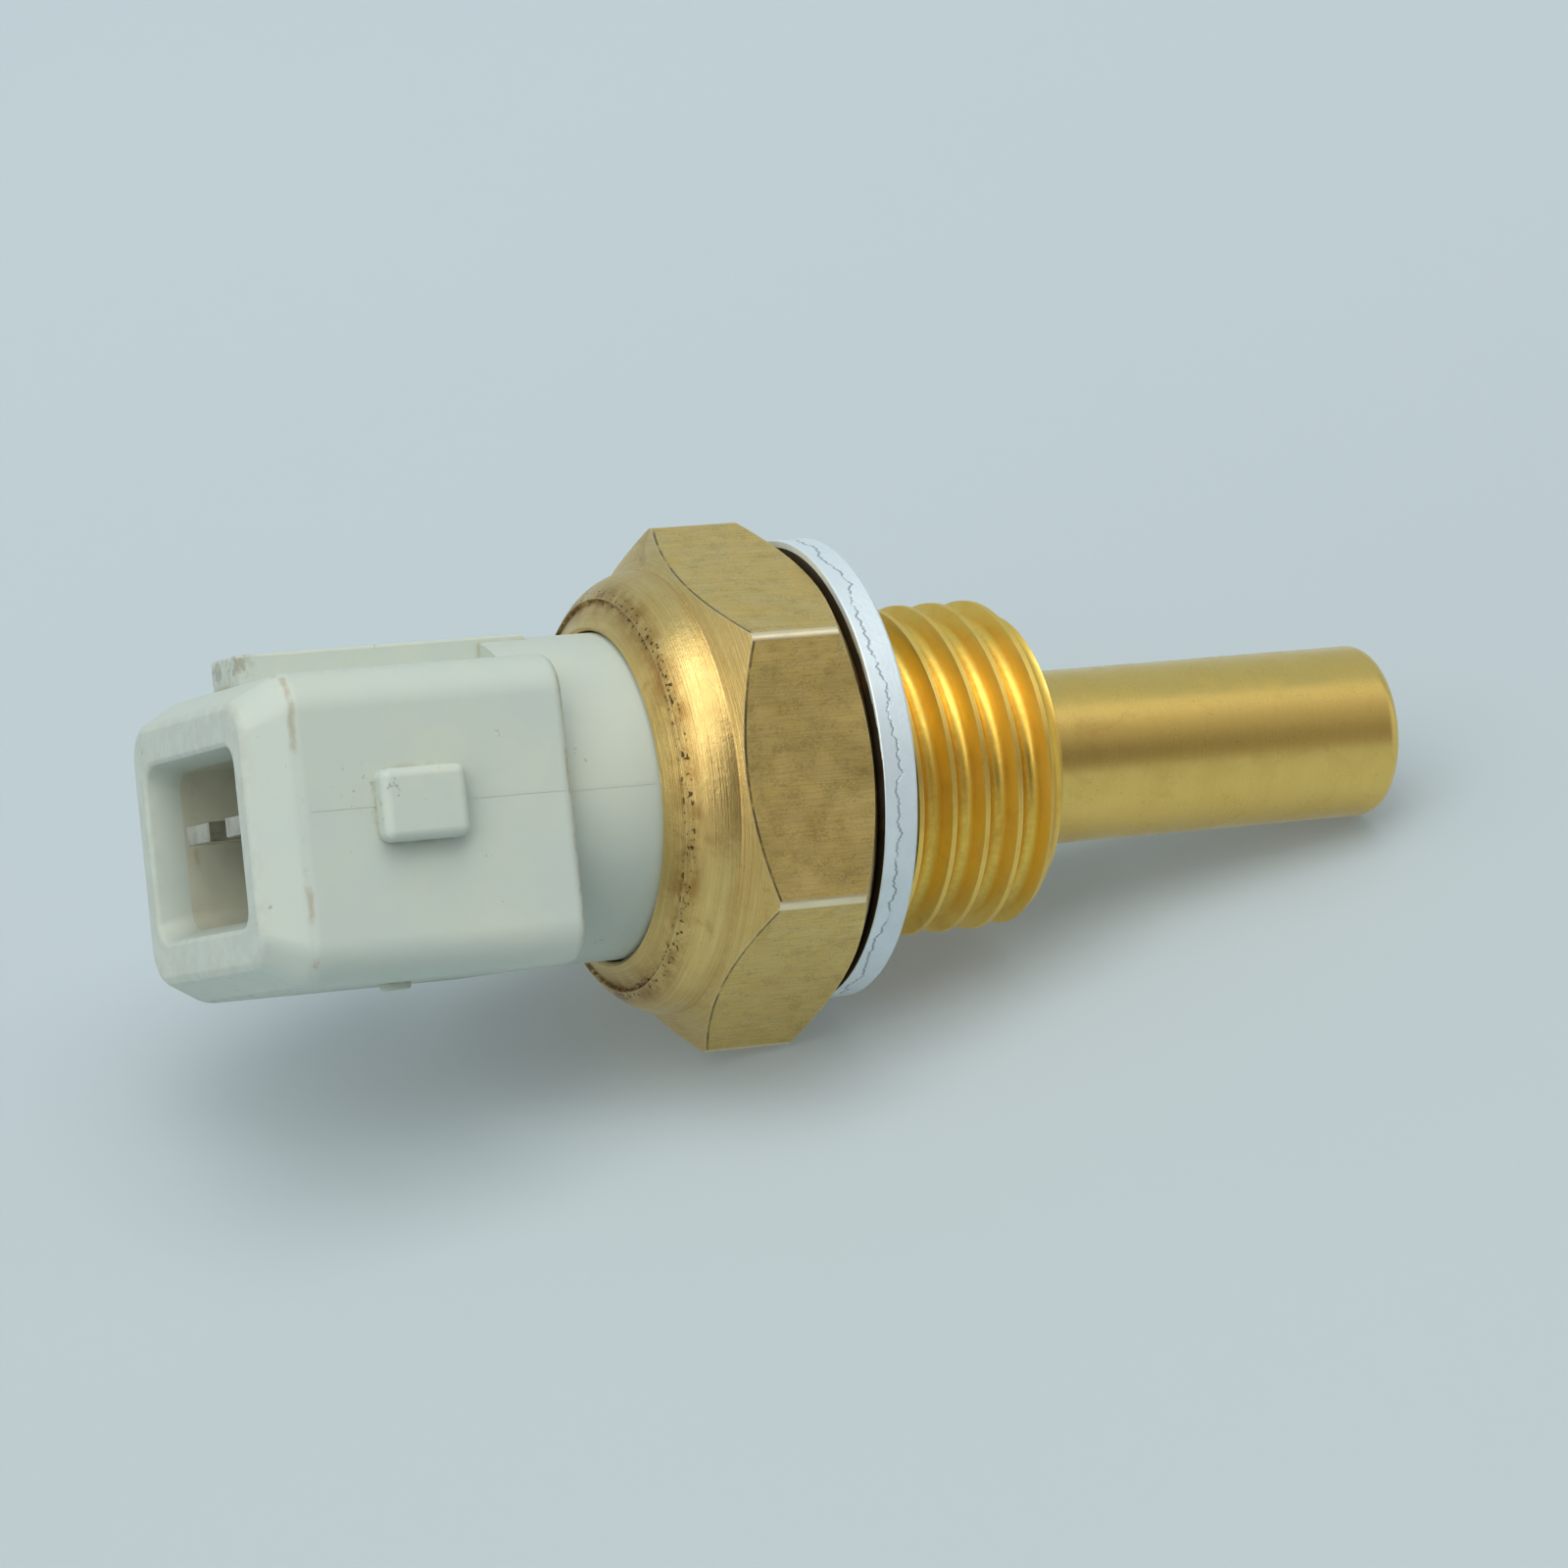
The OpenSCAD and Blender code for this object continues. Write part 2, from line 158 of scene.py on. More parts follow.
def draw_outline(name: str, points: list[Point], closed: bool = True) -> bpy.types.Object:
    """Draws an outline in the XZ plane by extruding one vertex from point to point.

    Args:
        name: Name of the object.
        points: Distances from the axis and heights.
        closed: Whether the last point is joined to the first.

    Returns:
        The outline, as edges only.
    """
    bpy.ops.mesh.primitive_plane_add(size=0.1, location=(points[0][0], 0, points[0][1]))
    obj = bpy.context.object
    obj.name = name
    bpy.ops.object.transform_apply(location=True, rotation=True, scale=True)
    with editing(obj, "VERT"):
        bpy.ops.mesh.select_all(action="SELECT")
        bpy.ops.mesh.merge(type="CENTER")
        loop = points + points[:1] if closed else points
        for here, there in zip(loop, loop[1:]):
            step = (there[0] - here[0], 0, there[1] - here[1])
            bpy.ops.mesh.extrude_region_move(TRANSFORM_OT_translate={"value": step})
        bpy.ops.mesh.select_all(action="SELECT")
        bpy.ops.mesh.remove_doubles(threshold=1e-4)
    return obj


def tidy_shell(obj: bpy.types.Object) -> None:
    """Merges doubles, drops slivers and turns the faces of a closed piece outwards."""
    with editing(obj):
        bpy.ops.mesh.select_all(action="SELECT")
        bpy.ops.mesh.remove_doubles(threshold=1e-4)
        bpy.ops.mesh.dissolve_degenerate(threshold=1e-4)
        bpy.ops.mesh.normals_make_consistent(inside=False)


def turn(name: str, points: list[Point], steps: int = 144) -> bpy.types.Object:
    """Spins an outline, closed or from axis to axis, about the axis into a solid.

    Args:
        name: Name of the object.
        points: Outline as distances from the axis and heights.
        steps: Number of steps in the full turn.

    Returns:
        The closed solid.
    """
    obj = draw_outline(name, points, closed=points[0][0] > 0 or points[-1][0] > 0)
    with editing(obj, "VERT"):
        bpy.ops.mesh.select_all(action="SELECT")
        bpy.ops.mesh.spin(steps=steps, angle=2 * math.pi, center=(0, 0, 0), axis=(0, 0, 1), use_auto_merge=True)
    tidy_shell(obj)
    return obj


def block(name: str, low: tuple[float, float, float], high: tuple[float, float, float]) -> bpy.types.Object:
    """A box between two corners, as the start of a piece.

    Args:
        name: Name of the object.
        low: Its lowest corner.
        high: Its highest corner.

    Returns:
        The box, with its place in its mesh.
    """
    middle = [(a + b) / 2 for a, b in zip(low, high)]
    bpy.ops.mesh.primitive_cube_add(size=1, location=middle, scale=[b - a for a, b in zip(low, high)])
    obj = bpy.context.object
    obj.name = name
    bpy.ops.object.transform_apply(location=True, rotation=True, scale=True)
    return obj


def bevel_edges(obj: bpy.types.Object, rule: Callable[[Vector, Vector], bool], width: float, steps: int = 3) -> None:
    """Rounds the edges that a rule accepts.

    Args:
        obj: The piece.
        rule: Takes the places of an edge's two ends and says whether the edge is wanted.
        width: Width of the rounding.
        steps: Number of strips across it.
    """
    with editing(obj, "EDGE"):
        pick_edges(obj, rule)
        bpy.ops.mesh.bevel(offset=width, offset_type="OFFSET", segments=steps, affect="EDGES", clamp_overlap=True)


def combine(base: bpy.types.Object, tool: bpy.types.Object, how: Join) -> None:
    """Combines a second closed piece with the first, and uses it up.

    Args:
        base: The piece that is kept.
        tool: The piece that is added or taken away.
        how: How the two are combined.
    """
    step = base.modifiers.new(how.name.lower(), "BOOLEAN")
    step.operation = how.value
    step.solver = "EXACT"
    step.object = tool
    take(base)
    bpy.ops.object.modifier_apply(modifier=step.name)
    mesh = tool.data
    bpy.data.objects.remove(tool)
    bpy.data.meshes.remove(mesh)


@dataclass(frozen=True)
class Pose:
    """How the sensor lies: on a flat of its hexagon, dipping towards the tip of its probe."""

    tilt: float
    height: float
    middle: float
    roll: float = 150.0

    def matrix(self) -> Matrix:
        """The move from the sensor's own axis, in millimetres, to where it lies, in metres."""
        place = Matrix.Translation((-self.middle, 0, self.height))
        dip = Matrix.Rotation(math.radians(90 + self.tilt), 4, "Y")
        roll = Matrix.Rotation(math.radians(self.roll), 4, "Z")
        return Matrix.Scale(MM, 4) @ place @ dip @ roll

    def lay(self, obj: bpy.types.Object) -> None:
        """Moves a finished piece to where it lies, with its place in its mesh."""
        take(obj)
        obj.matrix_world = self.matrix()
        bpy.ops.object.transform_apply(location=True, rotation=True, scale=True)


def finish_shading(obj: bpy.types.Object, angle: float = 32) -> None:
    """Smooths a piece below an angle between faces and weights its normals by face area.

    Args:
        obj: The piece.
        angle: Angle above which an edge stays sharp, in degrees.
    """
    take(obj)
    bpy.ops.object.shade_smooth_by_angle(angle=math.radians(angle))
    step = obj.modifiers.new("weights", "WEIGHTED_NORMAL")
    step.keep_sharp = True
    step.weight = 80
    bpy.ops.object.modifier_apply(modifier=step.name)


# ---------------------------------------------------------------- shader bench


class Shader:
    """A material's or a group's node tree, with short ways to add and join its nodes."""

    def __init__(self, tree: bpy.types.NodeTree) -> None:
        """Starts on an empty tree."""
        self.tree = tree
        tree.nodes.clear()

    def add(self, kind: str, settings: dict[str, object] | None = None, **inputs: object) -> bpy.types.Node:
        """Adds a node.

        Args:
            kind: The node's type without its ShaderNode prefix.
            settings: The node's own properties.
            inputs: Sockets by name, with _ for a blank, each a value or another node's output.

        Returns:
            The node.
        """
        node = self.tree.nodes.new("ShaderNode" + kind)
        for key, value in (settings or {}).items():
            setattr(node, key, value)
        for key, value in inputs.items():
            self.feed(node, key.replace("_", " "), value)
        return node

    def feed(self, node: bpy.types.Node, name: str | int, value: object) -> None:
        """Sets a socket to a value or joins it to another node's output.

        Args:
            node: The node.
            name: The socket's name or number.
            value: A number, a vector, a colour or an output socket.
        """
        socket = node.inputs[name]
        if isinstance(value, bpy.types.NodeSocket):
            self.tree.links.new(value, socket)
        elif socket.type == "RGBA" and len(value) == 3:
            socket.default_value = (*value, 1)
        else:
            socket.default_value = value

    def math(self, operation: str, *values: object, clamp: bool = False) -> bpy.types.NodeSocket:
        """A sum, product or other reckoning on numbers."""
        node = self.tree.nodes.new("ShaderNodeMath")
        node.operation = operation
        node.use_clamp = clamp
        for i, value in enumerate(values):
            self.feed(node, i, value)
        return node.outputs[0]

    def ramp(self, value: object, low: float, high: float, out_low: float = 0, out_high: float = 1) -> bpy.types.NodeSocket:
        """Maps a number smoothly from one range to another, and holds it at the ends."""
        node = self.add("MapRange", {"interpolation_type": "SMOOTHSTEP"})
        for name, number in zip(("Value", "From Min", "From Max", "To Min", "To Max"), (value, low, high, out_low, out_high)):
            self.feed(node, name, number)
        return node.outputs[0]

    def noise(self, vector: object, scale: float, detail: float = 3, rough: float = 0.5, warp: float = 0) -> bpy.types.NodeSocket:
        """A cloudy pattern from 0 to 1."""
        return self.add("TexNoise", Vector=vector, Scale=scale, Detail=detail, Roughness=rough, Distortion=warp).outputs[0]

    def blend(self, share: object, first: object, second: object) -> bpy.types.NodeSocket:
        """Mixes two colours by a share of the second."""
        node = self.add("Mix", {"data_type": "RGBA"})
        self.feed(node, 0, share)
        self.feed(node, 6, first)
        self.feed(node, 7, second)
        return node.outputs[2]

    def stretched(self, vector: object, factors: tuple[float, float, float]) -> bpy.types.NodeSocket:
        """Multiplies a vector by three numbers, so that a pattern on it runs lengthwise."""
        node = self.tree.nodes.new("ShaderNodeVectorMath")
        node.operation = "MULTIPLY"
        self.feed(node, 0, vector)
        self.feed(node, 1, factors)
        return node.outputs[0]

    def group(self, group: bpy.types.NodeTree, **inputs: object) -> bpy.types.Node:
        """Places a node group with its own values."""
        node = self.tree.nodes.new("ShaderNodeGroup")
        node.node_tree = group
        for key, value in inputs.items():
            self.feed(node, key.replace("_", " "), value)
        return node


def own_axes(shader: Shader, pose: Pose) -> bpy.types.NodeSocket:
    """The place of a point on the sensor's own axis, in millimetres, read from its object coordinates."""
    place = pose.matrix()
    coords = shader.add("TexCoord").outputs["Object"]
    return shader.add(
        "Mapping", {"vector_type": "TEXTURE"}, Vector=coords, Location=place.to_translation(),
        Rotation=place.to_euler(), Scale=(MM, MM, MM),
    ).outputs[0]


def new_group(name: str, takes: dict[str, tuple[str, float]], gives: dict[str, str]) -> tuple[bpy.types.NodeTree, Shader, bpy.types.Node, bpy.types.Node]:
    """Starts a shader node group with named sockets.

    Args:
        name: Name of the group.
        takes: Input names, each with its kind and first value.
        gives: Output names, each with its kind.

    Returns:
        The group, its shader bench, its input node and its output node.
    """
    tree = bpy.data.node_groups.new(name, "ShaderNodeTree")
    for label, (kind, value) in takes.items():
        socket = tree.interface.new_socket(label, in_out="INPUT", socket_type="NodeSocket" + kind)
        if kind == "Float":
            socket.default_value = value
    for label, kind in gives.items():
        tree.interface.new_socket(label, in_out="OUTPUT", socket_type="NodeSocket" + kind)
    bench = Shader(tree)
    return tree, bench, tree.nodes.new("NodeGroupInput"), tree.nodes.new("NodeGroupOutput")


class Effects:
    """The shader groups that several finishes share."""

    def __init__(self) -> None:
        """Builds every group once."""
        self.wear = self._edge_wear()
        self.corner_shade = self._corner_shade()
        self.specks = self._specks()
        self.cylinder = self._cylinder()

    @staticmethod
    def _edge_wear() -> bpy.types.NodeTree:
        """Mask of the outward edges, broken up by noise."""
        tree, s, take_in, give = new_group(
            "edge_wear", {"Vector": ("Vector", 0), "Width": ("Float", 0.0002), "Breakup": ("Float", 0.5), "Size": ("Float", 2)}, {"Mask": "Float"}
        )
        soft = s.add("Bevel", {"samples": 6}, Radius=take_in.outputs["Width"]).outputs[0]
        normal = s.add("NewGeometry").outputs["Normal"]
        turned = s.add("VectorMath", {"operation": "DOT_PRODUCT"})
        s.feed(turned, 0, soft)
        s.feed(turned, 1, normal)
        rise = s.math("SUBTRACT", 1, turned.outputs["Value"])
        inner = s.add("AmbientOcclusion", {"samples": 4, "inside": True, "only_local": True}, Distance=0.0006).outputs["AO"]
        outward = s.ramp(inner, 0.35, 0.75)
        cloud = s.ramp(s.noise(take_in.outputs["Vector"], take_in.outputs["Size"], 4, 0.6), 0.35, 0.65)
        kept = s.math("SUBTRACT", 1, s.math("MULTIPLY", take_in.outputs["Breakup"], s.math("SUBTRACT", 1, cloud)))
        mask = s.math("MULTIPLY", s.math("MULTIPLY", s.ramp(rise, 0.015, 0.12), outward), kept, clamp=True)
        s.feed(give, "Mask", mask)
        return tree

    @staticmethod
    def _corner_shade() -> bpy.types.NodeTree:
        """Mask of painted shade in the corners, where occlusion is high, broken up by noise."""
        tree, s, take_in, give = new_group(
            "painted_corner_shade", {"Vector": ("Vector", 0), "Reach": ("Float", 0.0005), "Amount": ("Float", 0.5), "Size": ("Float", 2)}, {"Mask": "Float"}
        )
        shade = s.add("AmbientOcclusion", {"samples": 6, "only_local": True}, Distance=take_in.outputs["Reach"]).outputs["AO"]
        deep = s.ramp(shade, 0.82, 0.45)
        cloud = s.noise(take_in.outputs["Vector"], take_in.outputs["Size"], 5, 0.65)
        level = s.math("SUBTRACT", 1, take_in.outputs["Amount"])
        spots = s.ramp(s.math("SUBTRACT", cloud, s.math("MULTIPLY", level, 0.8)), -0.05, 0.12)
        s.feed(give, "Mask", s.math("MULTIPLY", deep, spots, clamp=True))
        return tree

    @staticmethod
    def _specks() -> bpy.types.NodeTree:
        """Mask of small scattered specks."""
        tree, s, take_in, give = new_group(
            "specks", {"Vector": ("Vector", 0), "Scale": ("Float", 3), "Share": ("Float", 0.2)}, {"Mask": "Float"}
        )
        fine = s.noise(take_in.outputs["Vector"], take_in.outputs["Scale"], 2, 0.7)
        coarse = s.noise(take_in.outputs["Vector"], s.math("MULTIPLY", take_in.outputs["Scale"], 0.13), 3, 0.5)
        sum_ = s.math("ADD", fine, s.math("MULTIPLY", coarse, 0.6))
        edge = s.math("SUBTRACT", 1.05, s.math("MULTIPLY", take_in.outputs["Share"], 0.5))
        s.feed(give, "Mask", s.ramp(s.math("SUBTRACT", sum_, edge), 0, 0.07))
        return tree

    @staticmethod
    def _cylinder() -> bpy.types.NodeTree:
        """Distance from the axis, angle round it and place along it, and a vector on which patterns run round the axis."""
        tree, s, take_in, give = new_group(
            "round_the_axis", {"Vector": ("Vector", 0)}, {"Radius": "Float", "Angle": "Float", "Along": "Float", "Round": "Vector"}
        )
        parts = s.add("SeparateXYZ", Vector=take_in.outputs["Vector"])
        x, y, z = parts.outputs
        radius = s.math("SQRT", s.math("ADD", s.math("MULTIPLY", x, x), s.math("MULTIPLY", y, y)))
        s.feed(give, "Radius", radius)
        s.feed(give, "Angle", s.math("ARCTAN2", y, x))
        s.feed(give, "Along", z)
        flat = s.math("DIVIDE", 1, s.math("MAXIMUM", radius, 0.2))
        round_ = s.add("CombineXYZ", X=s.math("MULTIPLY", x, flat), Y=s.math("MULTIPLY", y, flat), Z=0)
        lift = s.add("CombineXYZ", X=s.math("MULTIPLY", radius, 9), Y=0, Z=s.math("MULTIPLY", z, 9))
        joined = s.add("VectorMath", {"operation": "ADD"})
        s.feed(joined, 0, round_.outputs[0])
        s.feed(joined, 1, lift.outputs[0])
        s.feed(give, "Round", joined.outputs[0])
        return tree


def new_material(name: str) -> tuple[bpy.types.Material, Shader, bpy.types.Node]:
    """Starts a material with one Principled shader on its output.

    Args:
        name: Name of the material.

    Returns:
        The material, its shader bench and its Principled node.
    """
    material = bpy.data.materials.new(name)
    material.use_nodes = True
    bench = Shader(material.node_tree)
    out = bench.add("OutputMaterial")
    body = bench.add("BsdfPrincipled")
    bench.feed(out, "Surface", body.outputs[0])
    return material, bench, body


@dataclass(frozen=True)
class BrassFinish:
    """Machined or drawn brass, with its stains, specks and bright edges."""

    name: str
    base: Colour
    tarnish: Colour
    roughness: float
    turned: float = 0.0
    drawn: float = 0.0
    speck_share: float = 0.0
    film: float = 0.0
    wear: float = 0.5
    stained: float = 0.55
    crease: float | None = None
    relief: float = 0.00002
    burr_shadow_from: Point | None = None
    burr_shadow_slope: float = 0.6494

    def build(self, fx: Effects, pose: Pose) -> bpy.types.Material:
        """Makes the material.

        Args:
            fx: The shared shader groups.
            pose: How the sensor lies, for patterns on its own axis.

        Returns:
            The material.
        """
        material, s, body = new_material(self.name)
        own = own_axes(s, pose)
        cylinder = s.group(fx.cylinder, Vector=own)
        cloud = s.noise(own, 0.55, 5, 0.6, 0.4)
        colour = s.blend(s.ramp(cloud, 0.38, 0.7, 0, 0.35), self.base, self.tarnish)
        marks = s.noise(cylinder.outputs["Round"], 2.2, 4, 0.65)
        lines = s.noise(s.stretched(own, (9, 9, 0.35)), 1.6, 4, 0.65)
        grain = s.noise(own, 14, 3, 0.6)
        streaks = s.math("ADD", s.math("MULTIPLY", s.ramp(marks, 0.40, 0.62), self.turned), s.math("MULTIPLY", s.ramp(lines, 0.42, 0.60), self.drawn))
        colour = s.blend(s.math("MULTIPLY", streaks, 0.38), colour, tuple(c * 0.72 for c in self.tarnish))
        height = s.math("ADD", s.math("MULTIPLY", marks, self.turned), s.math("MULTIPLY", lines, self.drawn))
        height = s.math("ADD", height, s.math("MULTIPLY", grain, 0.25))
        if self.turned == 1.0:
            dents = s.noise(own, 1.7, 4, 0.7)
            chatter = s.noise(cylinder.outputs["Round"], 0.7, 3, 0.6)
            height = s.math("ADD", height, s.math("ADD", dents, chatter))
        if self.speck_share:
            specks = s.group(fx.specks, Vector=s.stretched(own, (1, 1, 0.7)), Scale=13, Share=self.speck_share)
            colour = s.blend(s.math("MULTIPLY", specks.outputs[0], 0.34), colour, (0.20, 0.12, 0.035))
        if self.film:
            haze = s.math("MULTIPLY", s.ramp(s.noise(own, 0.9, 5, 0.7), 0.3, 0.7, 0.45, 1), self.film)
            colour = s.blend(haze, colour, (0.60, 0.50, 0.30))
            s.feed(body, "Metallic", s.math("SUBTRACT", 1, s.math("MULTIPLY", haze, 0.6)))
        else:
            body.inputs["Metallic"].default_value = 1.0
        wear = s.group(fx.wear, Vector=own, Width=0.00018, Breakup=0.6, Size=1.6)
        worn = s.math("MULTIPLY", wear.outputs[0], self.wear)
        corner_shade = s.group(fx.corner_shade, Vector=own, Reach=0.0006, Amount=0.45, Size=3.0)
        stain = s.ramp(s.noise(own, 0.35, 5, 0.7, 0.6), 0.56, 0.74, 0, self.stained)
        colour = s.blend(stain, colour, (0.42, 0.20, 0.04))
        along, radius = cylinder.outputs["Along"], cylinder.outputs["Radius"]
        if self.crease is not None:
            off = s.math("ABSOLUTE", s.math("SUBTRACT", along, self.crease))
            near = s.ramp(off, 0.62, 0.05)
            colour = s.blend(s.math("MULTIPLY", near, s.ramp(s.noise(own, 0.8, 4, 0.6), 0.35, 0.65, 0.1, 0.75)), colour, (0.34, 0.16, 0.035))
            pits = s.math("MULTIPLY", s.ramp(off, 0.17, 0.07), s.ramp(s.noise(own, 4.0, 3, 0.6), 0.56, 0.61))
            colour = s.blend(s.math("MULTIPLY", pits, 0.85), colour, (0.03, 0.02, 0.01))
        # Painted shadow: a thin dark line on the flats along the edge of the hexagon's end chamfer, as a burr would
        # cast, broken up by noise.
        if self.burr_shadow_from is not None:
            edge = s.math("ADD", s.math("MULTIPLY", s.math("SUBTRACT", radius, self.burr_shadow_from[0]), self.burr_shadow_slope), self.burr_shadow_from[1])
            off = s.math("ABSOLUTE", s.math("SUBTRACT", s.math("SUBTRACT", along, edge), 0.05))
            burr_shadow = s.math("MULTIPLY", s.ramp(off, 0.075, 0.03), s.ramp(s.noise(own, 0.9, 3, 0.6), 0.30, 0.55))
            colour = s.blend(s.math("MULTIPLY", burr_shadow, 0.8), colour, (0.05, 0.035, 0.015))
        colour = s.blend(worn, colour, (0.97, 0.82, 0.50))
        # Painted shade: corners where occlusion is high turn near-black brown, and rougher below.
        colour = s.blend(s.math("MULTIPLY", corner_shade.outputs[0], 0.75), colour, (0.07, 0.045, 0.02))
        rough = s.ramp(cloud, 0.3, 0.75, self.roughness * 0.85, self.roughness * 1.3)
        rough = s.math("SUBTRACT", rough, s.math("MULTIPLY", worn, 0.08))
        rough = s.math("ADD", rough, s.math("MULTIPLY", corner_shade.outputs[0], 0.3), clamp=True)
        s.feed(body, "Base Color", colour)
        s.feed(body, "Roughness", rough)
        bump = s.add("Bump", Strength=0.35, Distance=self.relief, Height=height)
        s.feed(body, "Normal", bump.outputs[0])
        return material


@dataclass(frozen=True)
class PlasticFinish:
    """Moulded plastic with painted brown shade in its corners, brown stain lines and a mottled, slightly worn skin."""

    name: str
    base: Colour
    shade: Colour
    stain: Colour
    roughness: float = 0.5
    nose_crease: float = -24.1
    rear_edge: float = -12.75
    rib_front: float = -24.0

    def build(self, fx: Effects, pose: Pose) -> bpy.types.Material:
        """Makes the material.

        Args:
            fx: The shared shader groups.
            pose: How the sensor lies, for patterns on its own axis.

        Returns:
            The material.
        """
        material, s, body = new_material(self.name)
        own = own_axes(s, pose)
        cloud = s.noise(own, 0.22, 4, 0.55, 0.3)
        colour = s.blend(s.ramp(cloud, 0.35, 0.7), self.base, self.shade)
        along = s.add("SeparateXYZ", Vector=own).outputs["Z"]
        off = s.math("ABSOLUTE", s.math("SUBTRACT", s.math("ADD", along, s.math("MULTIPLY", s.noise(own, 0.8, 2), 0.5)), self.nose_crease + 0.25))
        crease = s.math("MULTIPLY", s.ramp(off, 0.20, 0.02), s.ramp(s.noise(own, 0.6, 4, 0.7), 0.44, 0.62))
        rear = s.math("ABSOLUTE", s.math("SUBTRACT", s.math("ADD", along, s.math("MULTIPLY", s.noise(own, 1.1, 2), 0.2)), self.rear_edge + 0.1))
        rear_line = s.math("MULTIPLY", s.ramp(rear, 0.12, 0.02), s.ramp(s.noise(own, 0.7, 4, 0.7), 0.45, 0.62))
        crease = s.math("MAXIMUM", crease, rear_line)
        high = s.ramp(s.add("SeparateXYZ", Vector=own).outputs["X"], 5.75, 6.1)
        front = s.math("MULTIPLY", s.ramp(along, self.rib_front + 1.1, self.rib_front + 0.1), high)
        crust = s.math("MULTIPLY", front, s.ramp(s.noise(own, 1.7, 5, 0.7), 0.44, 0.58))
        rim = s.ramp(along, self.nose_crease - 1.3, self.nose_crease - 1.9)
        corner_shade = s.group(fx.corner_shade, Vector=own, Reach=0.0004, Amount=0.42, Size=1.1)
        specks = s.group(fx.specks, Vector=own, Scale=2.4, Share=0.0)
        edge = s.group(fx.wear, Vector=own, Width=0.00025, Breakup=0.9, Size=0.9)
        colour = s.blend(s.math("MULTIPLY", edge.outputs[0], 0.55), colour, (0.58, 0.49, 0.32))
        # Painted shade: corners where occlusion is high take the brown stain colour.
        colour = s.blend(s.math("MULTIPLY", corner_shade.outputs[0], 0.6), colour, self.stain)
        colour = s.blend(s.math("MULTIPLY", crease, 0.6), colour, self.stain)
        colour = s.blend(s.math("MULTIPLY", crust, 0.6), colour, (0.27, 0.24, 0.17))
        chalk = s.math("MULTIPLY", rim, s.ramp(s.noise(own, 1.2, 5, 0.7), 0.40, 0.62, 0, 0.45))
        colour = s.blend(chalk, colour, (0.47, 0.48, 0.41))
        colour = s.blend(s.math("MULTIPLY", specks.outputs[0], 0.5), colour, (0.22, 0.20, 0.16))
        grain = s.noise(own, 9, 3, 0.6)
        s.feed(body, "Base Color", colour)
        s.feed(body, "Roughness", s.ramp(grain, 0.3, 0.7, self.roughness * 0.88, self.roughness * 1.12))
        body.inputs["Subsurface Weight"].default_value = 0.0
        body.inputs["Specular IOR Level"].default_value = 0.4
        wave = s.math("ADD", s.math("MULTIPLY", grain, 0.35), s.noise(own, 1.3, 3, 0.5))
        wave = s.math("ADD", wave, s.math("MULTIPLY", s.math("ADD", rim, crust), s.noise(own, 2.6, 5, 0.7)))
        bump = s.add("Bump", Strength=0.25, Distance=0.00004, Height=wave)
        s.feed(body, "Normal", bump.outputs[0])
        return material


@dataclass(frozen=True)
class MetalFinish:
    """Plain metal with fine lines, such as tinned strip, wire and solder."""

    name: str
    base: Colour
    dull: Colour
    roughness: float
    stretch: tuple[float, float, float] = (6, 6, 0.6)

    def build(self, fx: Effects, pose: Pose) -> bpy.types.Material:
        """Makes the material.

        Args:
            fx: The shared shader groups.
            pose: How the sensor lies, for patterns on its own axis.

        Returns:
            The material.
        """
        material, s, body = new_material(self.name)
        own = own_axes(s, pose)
        lines = s.noise(s.stretched(own, self.stretch), 1.5, 4, 0.6)
        cloud = s.noise(own, 0.8, 4, 0.6)
        edge = s.group(fx.wear, Vector=own, Width=0.00012, Breakup=0.5, Size=2.0)
        colour = s.blend(s.ramp(cloud, 0.4, 0.7), self.base, self.dull)
        colour = s.blend(s.math("MULTIPLY", edge.outputs[0], 0.4), colour, (0.9, 0.9, 0.9))
        body.inputs["Metallic"].default_value = 1.0
        s.feed(body, "Base Color", colour)
        s.feed(body, "Roughness", s.ramp(lines, 0.3, 0.7, self.roughness * 0.8, self.roughness * 1.25))
        bump = s.add("Bump", Strength=0.3, Distance=0.00002, Height=lines)
        s.feed(body, "Normal", bump.outputs[0])
        return material


